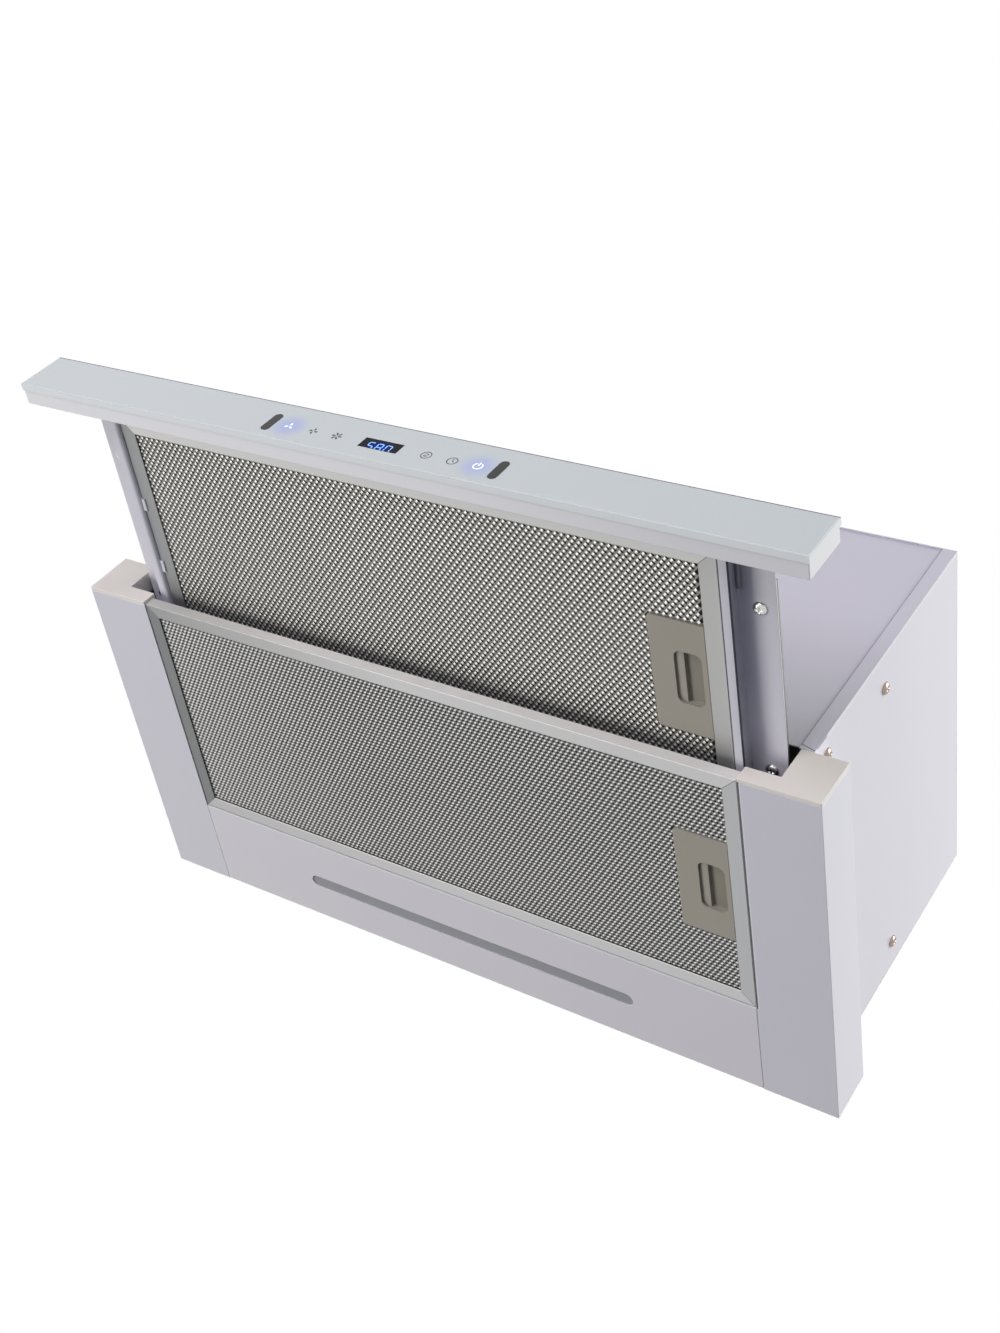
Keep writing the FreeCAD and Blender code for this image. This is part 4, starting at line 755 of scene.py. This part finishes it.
# Painted highlights: along the lamp panel's front edge, and in the loop below along each side panel's fold.
hairline("lamp_panel_painted_highlight", "housing", (-242.4, 202.35, 242.4, 202.35), "z", -HAIR, 1.4, FOLD_PAINTED_HIGHLIGHT)
for side, hand in (("left", -1), ("right", 1)):
    fold, lip = hand * FOLD_X, hand * LIP_X
    hairline(f"fold_seam_{side}", "housing", (fold, FOLD_LOW, fold, 266), "y", 0.96, 0.6)
    hairline(f"fold_end_{side}", "housing", (hand * 264.8, FOLD_LOW, hand * 274.8, 41), "y", -0.03, 0.6)
    hairline(f"lip_edge_{side}", "drawer", (lip, ARM_FRONT, lip, ARM_REAR), "z", 15.41, 1.0, PAINT)
    hairline(f"lip_shadow_{side}", "drawer", (ARM_FRONT, 17.6, 97, 17.6), "x", hand * 238.74, 4.2, LIP_PAINTED_SHADOW)
    hairline(f"fold_painted_highlight_{side}", "housing", (1.0, 57.5, 1.0, 265), "x", hand * fold_face, 1.6, FOLD_PAINTED_HIGHLIGHT)
    hairline(f"bend_relief_{side}", "housing", (0.7, FOLD_LOW, 0.7, 57), "x", hand * fold_face, 0.7)
# Painted shadow in the gaps beside the filters' right rails, and a painted highlight on the edge of the
# profile next to one of them.
hairline("arm_gap", "drawer", (GAP_X, ARM_FRONT, GAP_X, ARM_REAR), "z", 15.38, 0.9)
hairline("profile_gap", "housing", (243.5, PROFILE_FRONT, 243.5, PROFILE_REAR), "z", -HAIR, 1.2)
hairline("profile_painted_highlight", "housing", (244.6, PROFILE_FRONT, 244.6, PROFILE_REAR), "z", -HAIR, 0.9, FOLD_PAINTED_HIGHLIGHT)
mitres("rear_mitres", "housing", REAR_FILTER)
mitres("drawer_mitres", "drawer", DRAWER_FILTER)

# Camera: solved from the straight edges in the photo.
right = Vector((0.81707, 0.15835, 0.55437))
down = Vector((0.21509, 0.80840, -0.54792))
forward = Vector((-0.53492, 0.56693, 0.62646))
eye = bpy.data.cameras.new("camera")
eye.lens = 48.77
eye.sensor_width = 36
eye.shift_x = 0.0392
eye.shift_y = -0.0515
camera = bpy.data.objects.new("camera", eye)
turn = Matrix((right, -down, -forward)).transposed().to_4x4()
camera.matrix_world = Matrix.Translation(at(654.9, -724.3, -710.3)) @ turn
scene.collection.objects.link(camera)
scene.camera = camera

# Light: a white studio. The backdrop is white to the camera and in reflections, a weak dome fills the
# shadows, and softboxes stand low at the left, high at the right and before the hood.
scene.view_settings.view_transform = "Standard"
world = bpy.data.worlds.new("studio")
world.use_nodes = True
scene.world = world
sky = world.node_tree
sky.nodes.clear()
toward = add(sky, "ShaderNodeTexCoord").outputs["Generated"]
direction = add(sky, "ShaderNodeSeparateXYZ", {0: toward}).outputs
# Sides of the dome: axis, sense, colour and level. Each reaches a little past the horizon.
SIDES = (
    ("Z", 1, "#FFFFFF", 0.28),
    ("Z", -1, "#D3E1FF", 0.125),
)
SPREAD = 0.1
dome = None
for axis, sense, colour, level in SIDES:
    limits = {"Value": direction[axis], "From Min": -sense * SPREAD, "From Max": sense,
              "To Min": 0.0, "To Max": level}
    strength = add(sky, "ShaderNodeMapRange", limits).outputs[0]
    side = add(sky, "ShaderNodeBackground", {"Color": linear(colour), "Strength": strength}).outputs[0]
    dome = add(sky, "ShaderNodeAddShader", {0: dome, 1: side}).outputs[0] if dome else side
rays = add(sky, "ShaderNodeLightPath").outputs
seen = rays["Is Camera Ray"]
for kind in ("Is Glossy Ray", "Is Transmission Ray"):
    seen = add(sky, "ShaderNodeMath", {0: seen, 1: rays[kind]}, operation="MAXIMUM").outputs[0]
white = add(sky, "ShaderNodeBackground", {"Color": linear("#FFFFFF"), "Strength": 1.0}).outputs[0]
backdrop = add(sky, "ShaderNodeMixShader", {0: seen, 1: dome, 2: white})
add(sky, "ShaderNodeOutputWorld", {"Surface": backdrop.outputs[0]})

# Softboxes: name, place and target in millimetres, size in metres, power in watts, colour.
LAMPS = (
    ("softbox_left", (-2600, -300, -3200), (0, 60, 0), 1.8, 79, "#FFFDF7"),
    ("softbox_right", (1600, -200, 1500), (280, 140, 130), 1.6, 42, "#FFFFFF"),
    ("softbox_front", (-300, -1800, -500), (0, 0, 20), 1.2, 17.2, "#F4F0FF"),
    ("softbox_low", (-900, -3200, -2600), (0, 0, 20), 2.0, 15.4, "#FFFFFF"),
)
for name, place, target, size, power, colour in LAMPS:
    lamp = bpy.data.lights.new(name, "AREA")
    lamp.size = size
    lamp.energy = power
    lamp.color = linear(colour)[:3]
    holder = bpy.data.objects.new(name, lamp)
    holder.location = at(*place)
    holder.rotation_euler = (at(*target) - at(*place)).to_track_quat("-Z", "Y").to_euler()
    holder.visible_camera = False
    scene.collection.objects.link(holder)
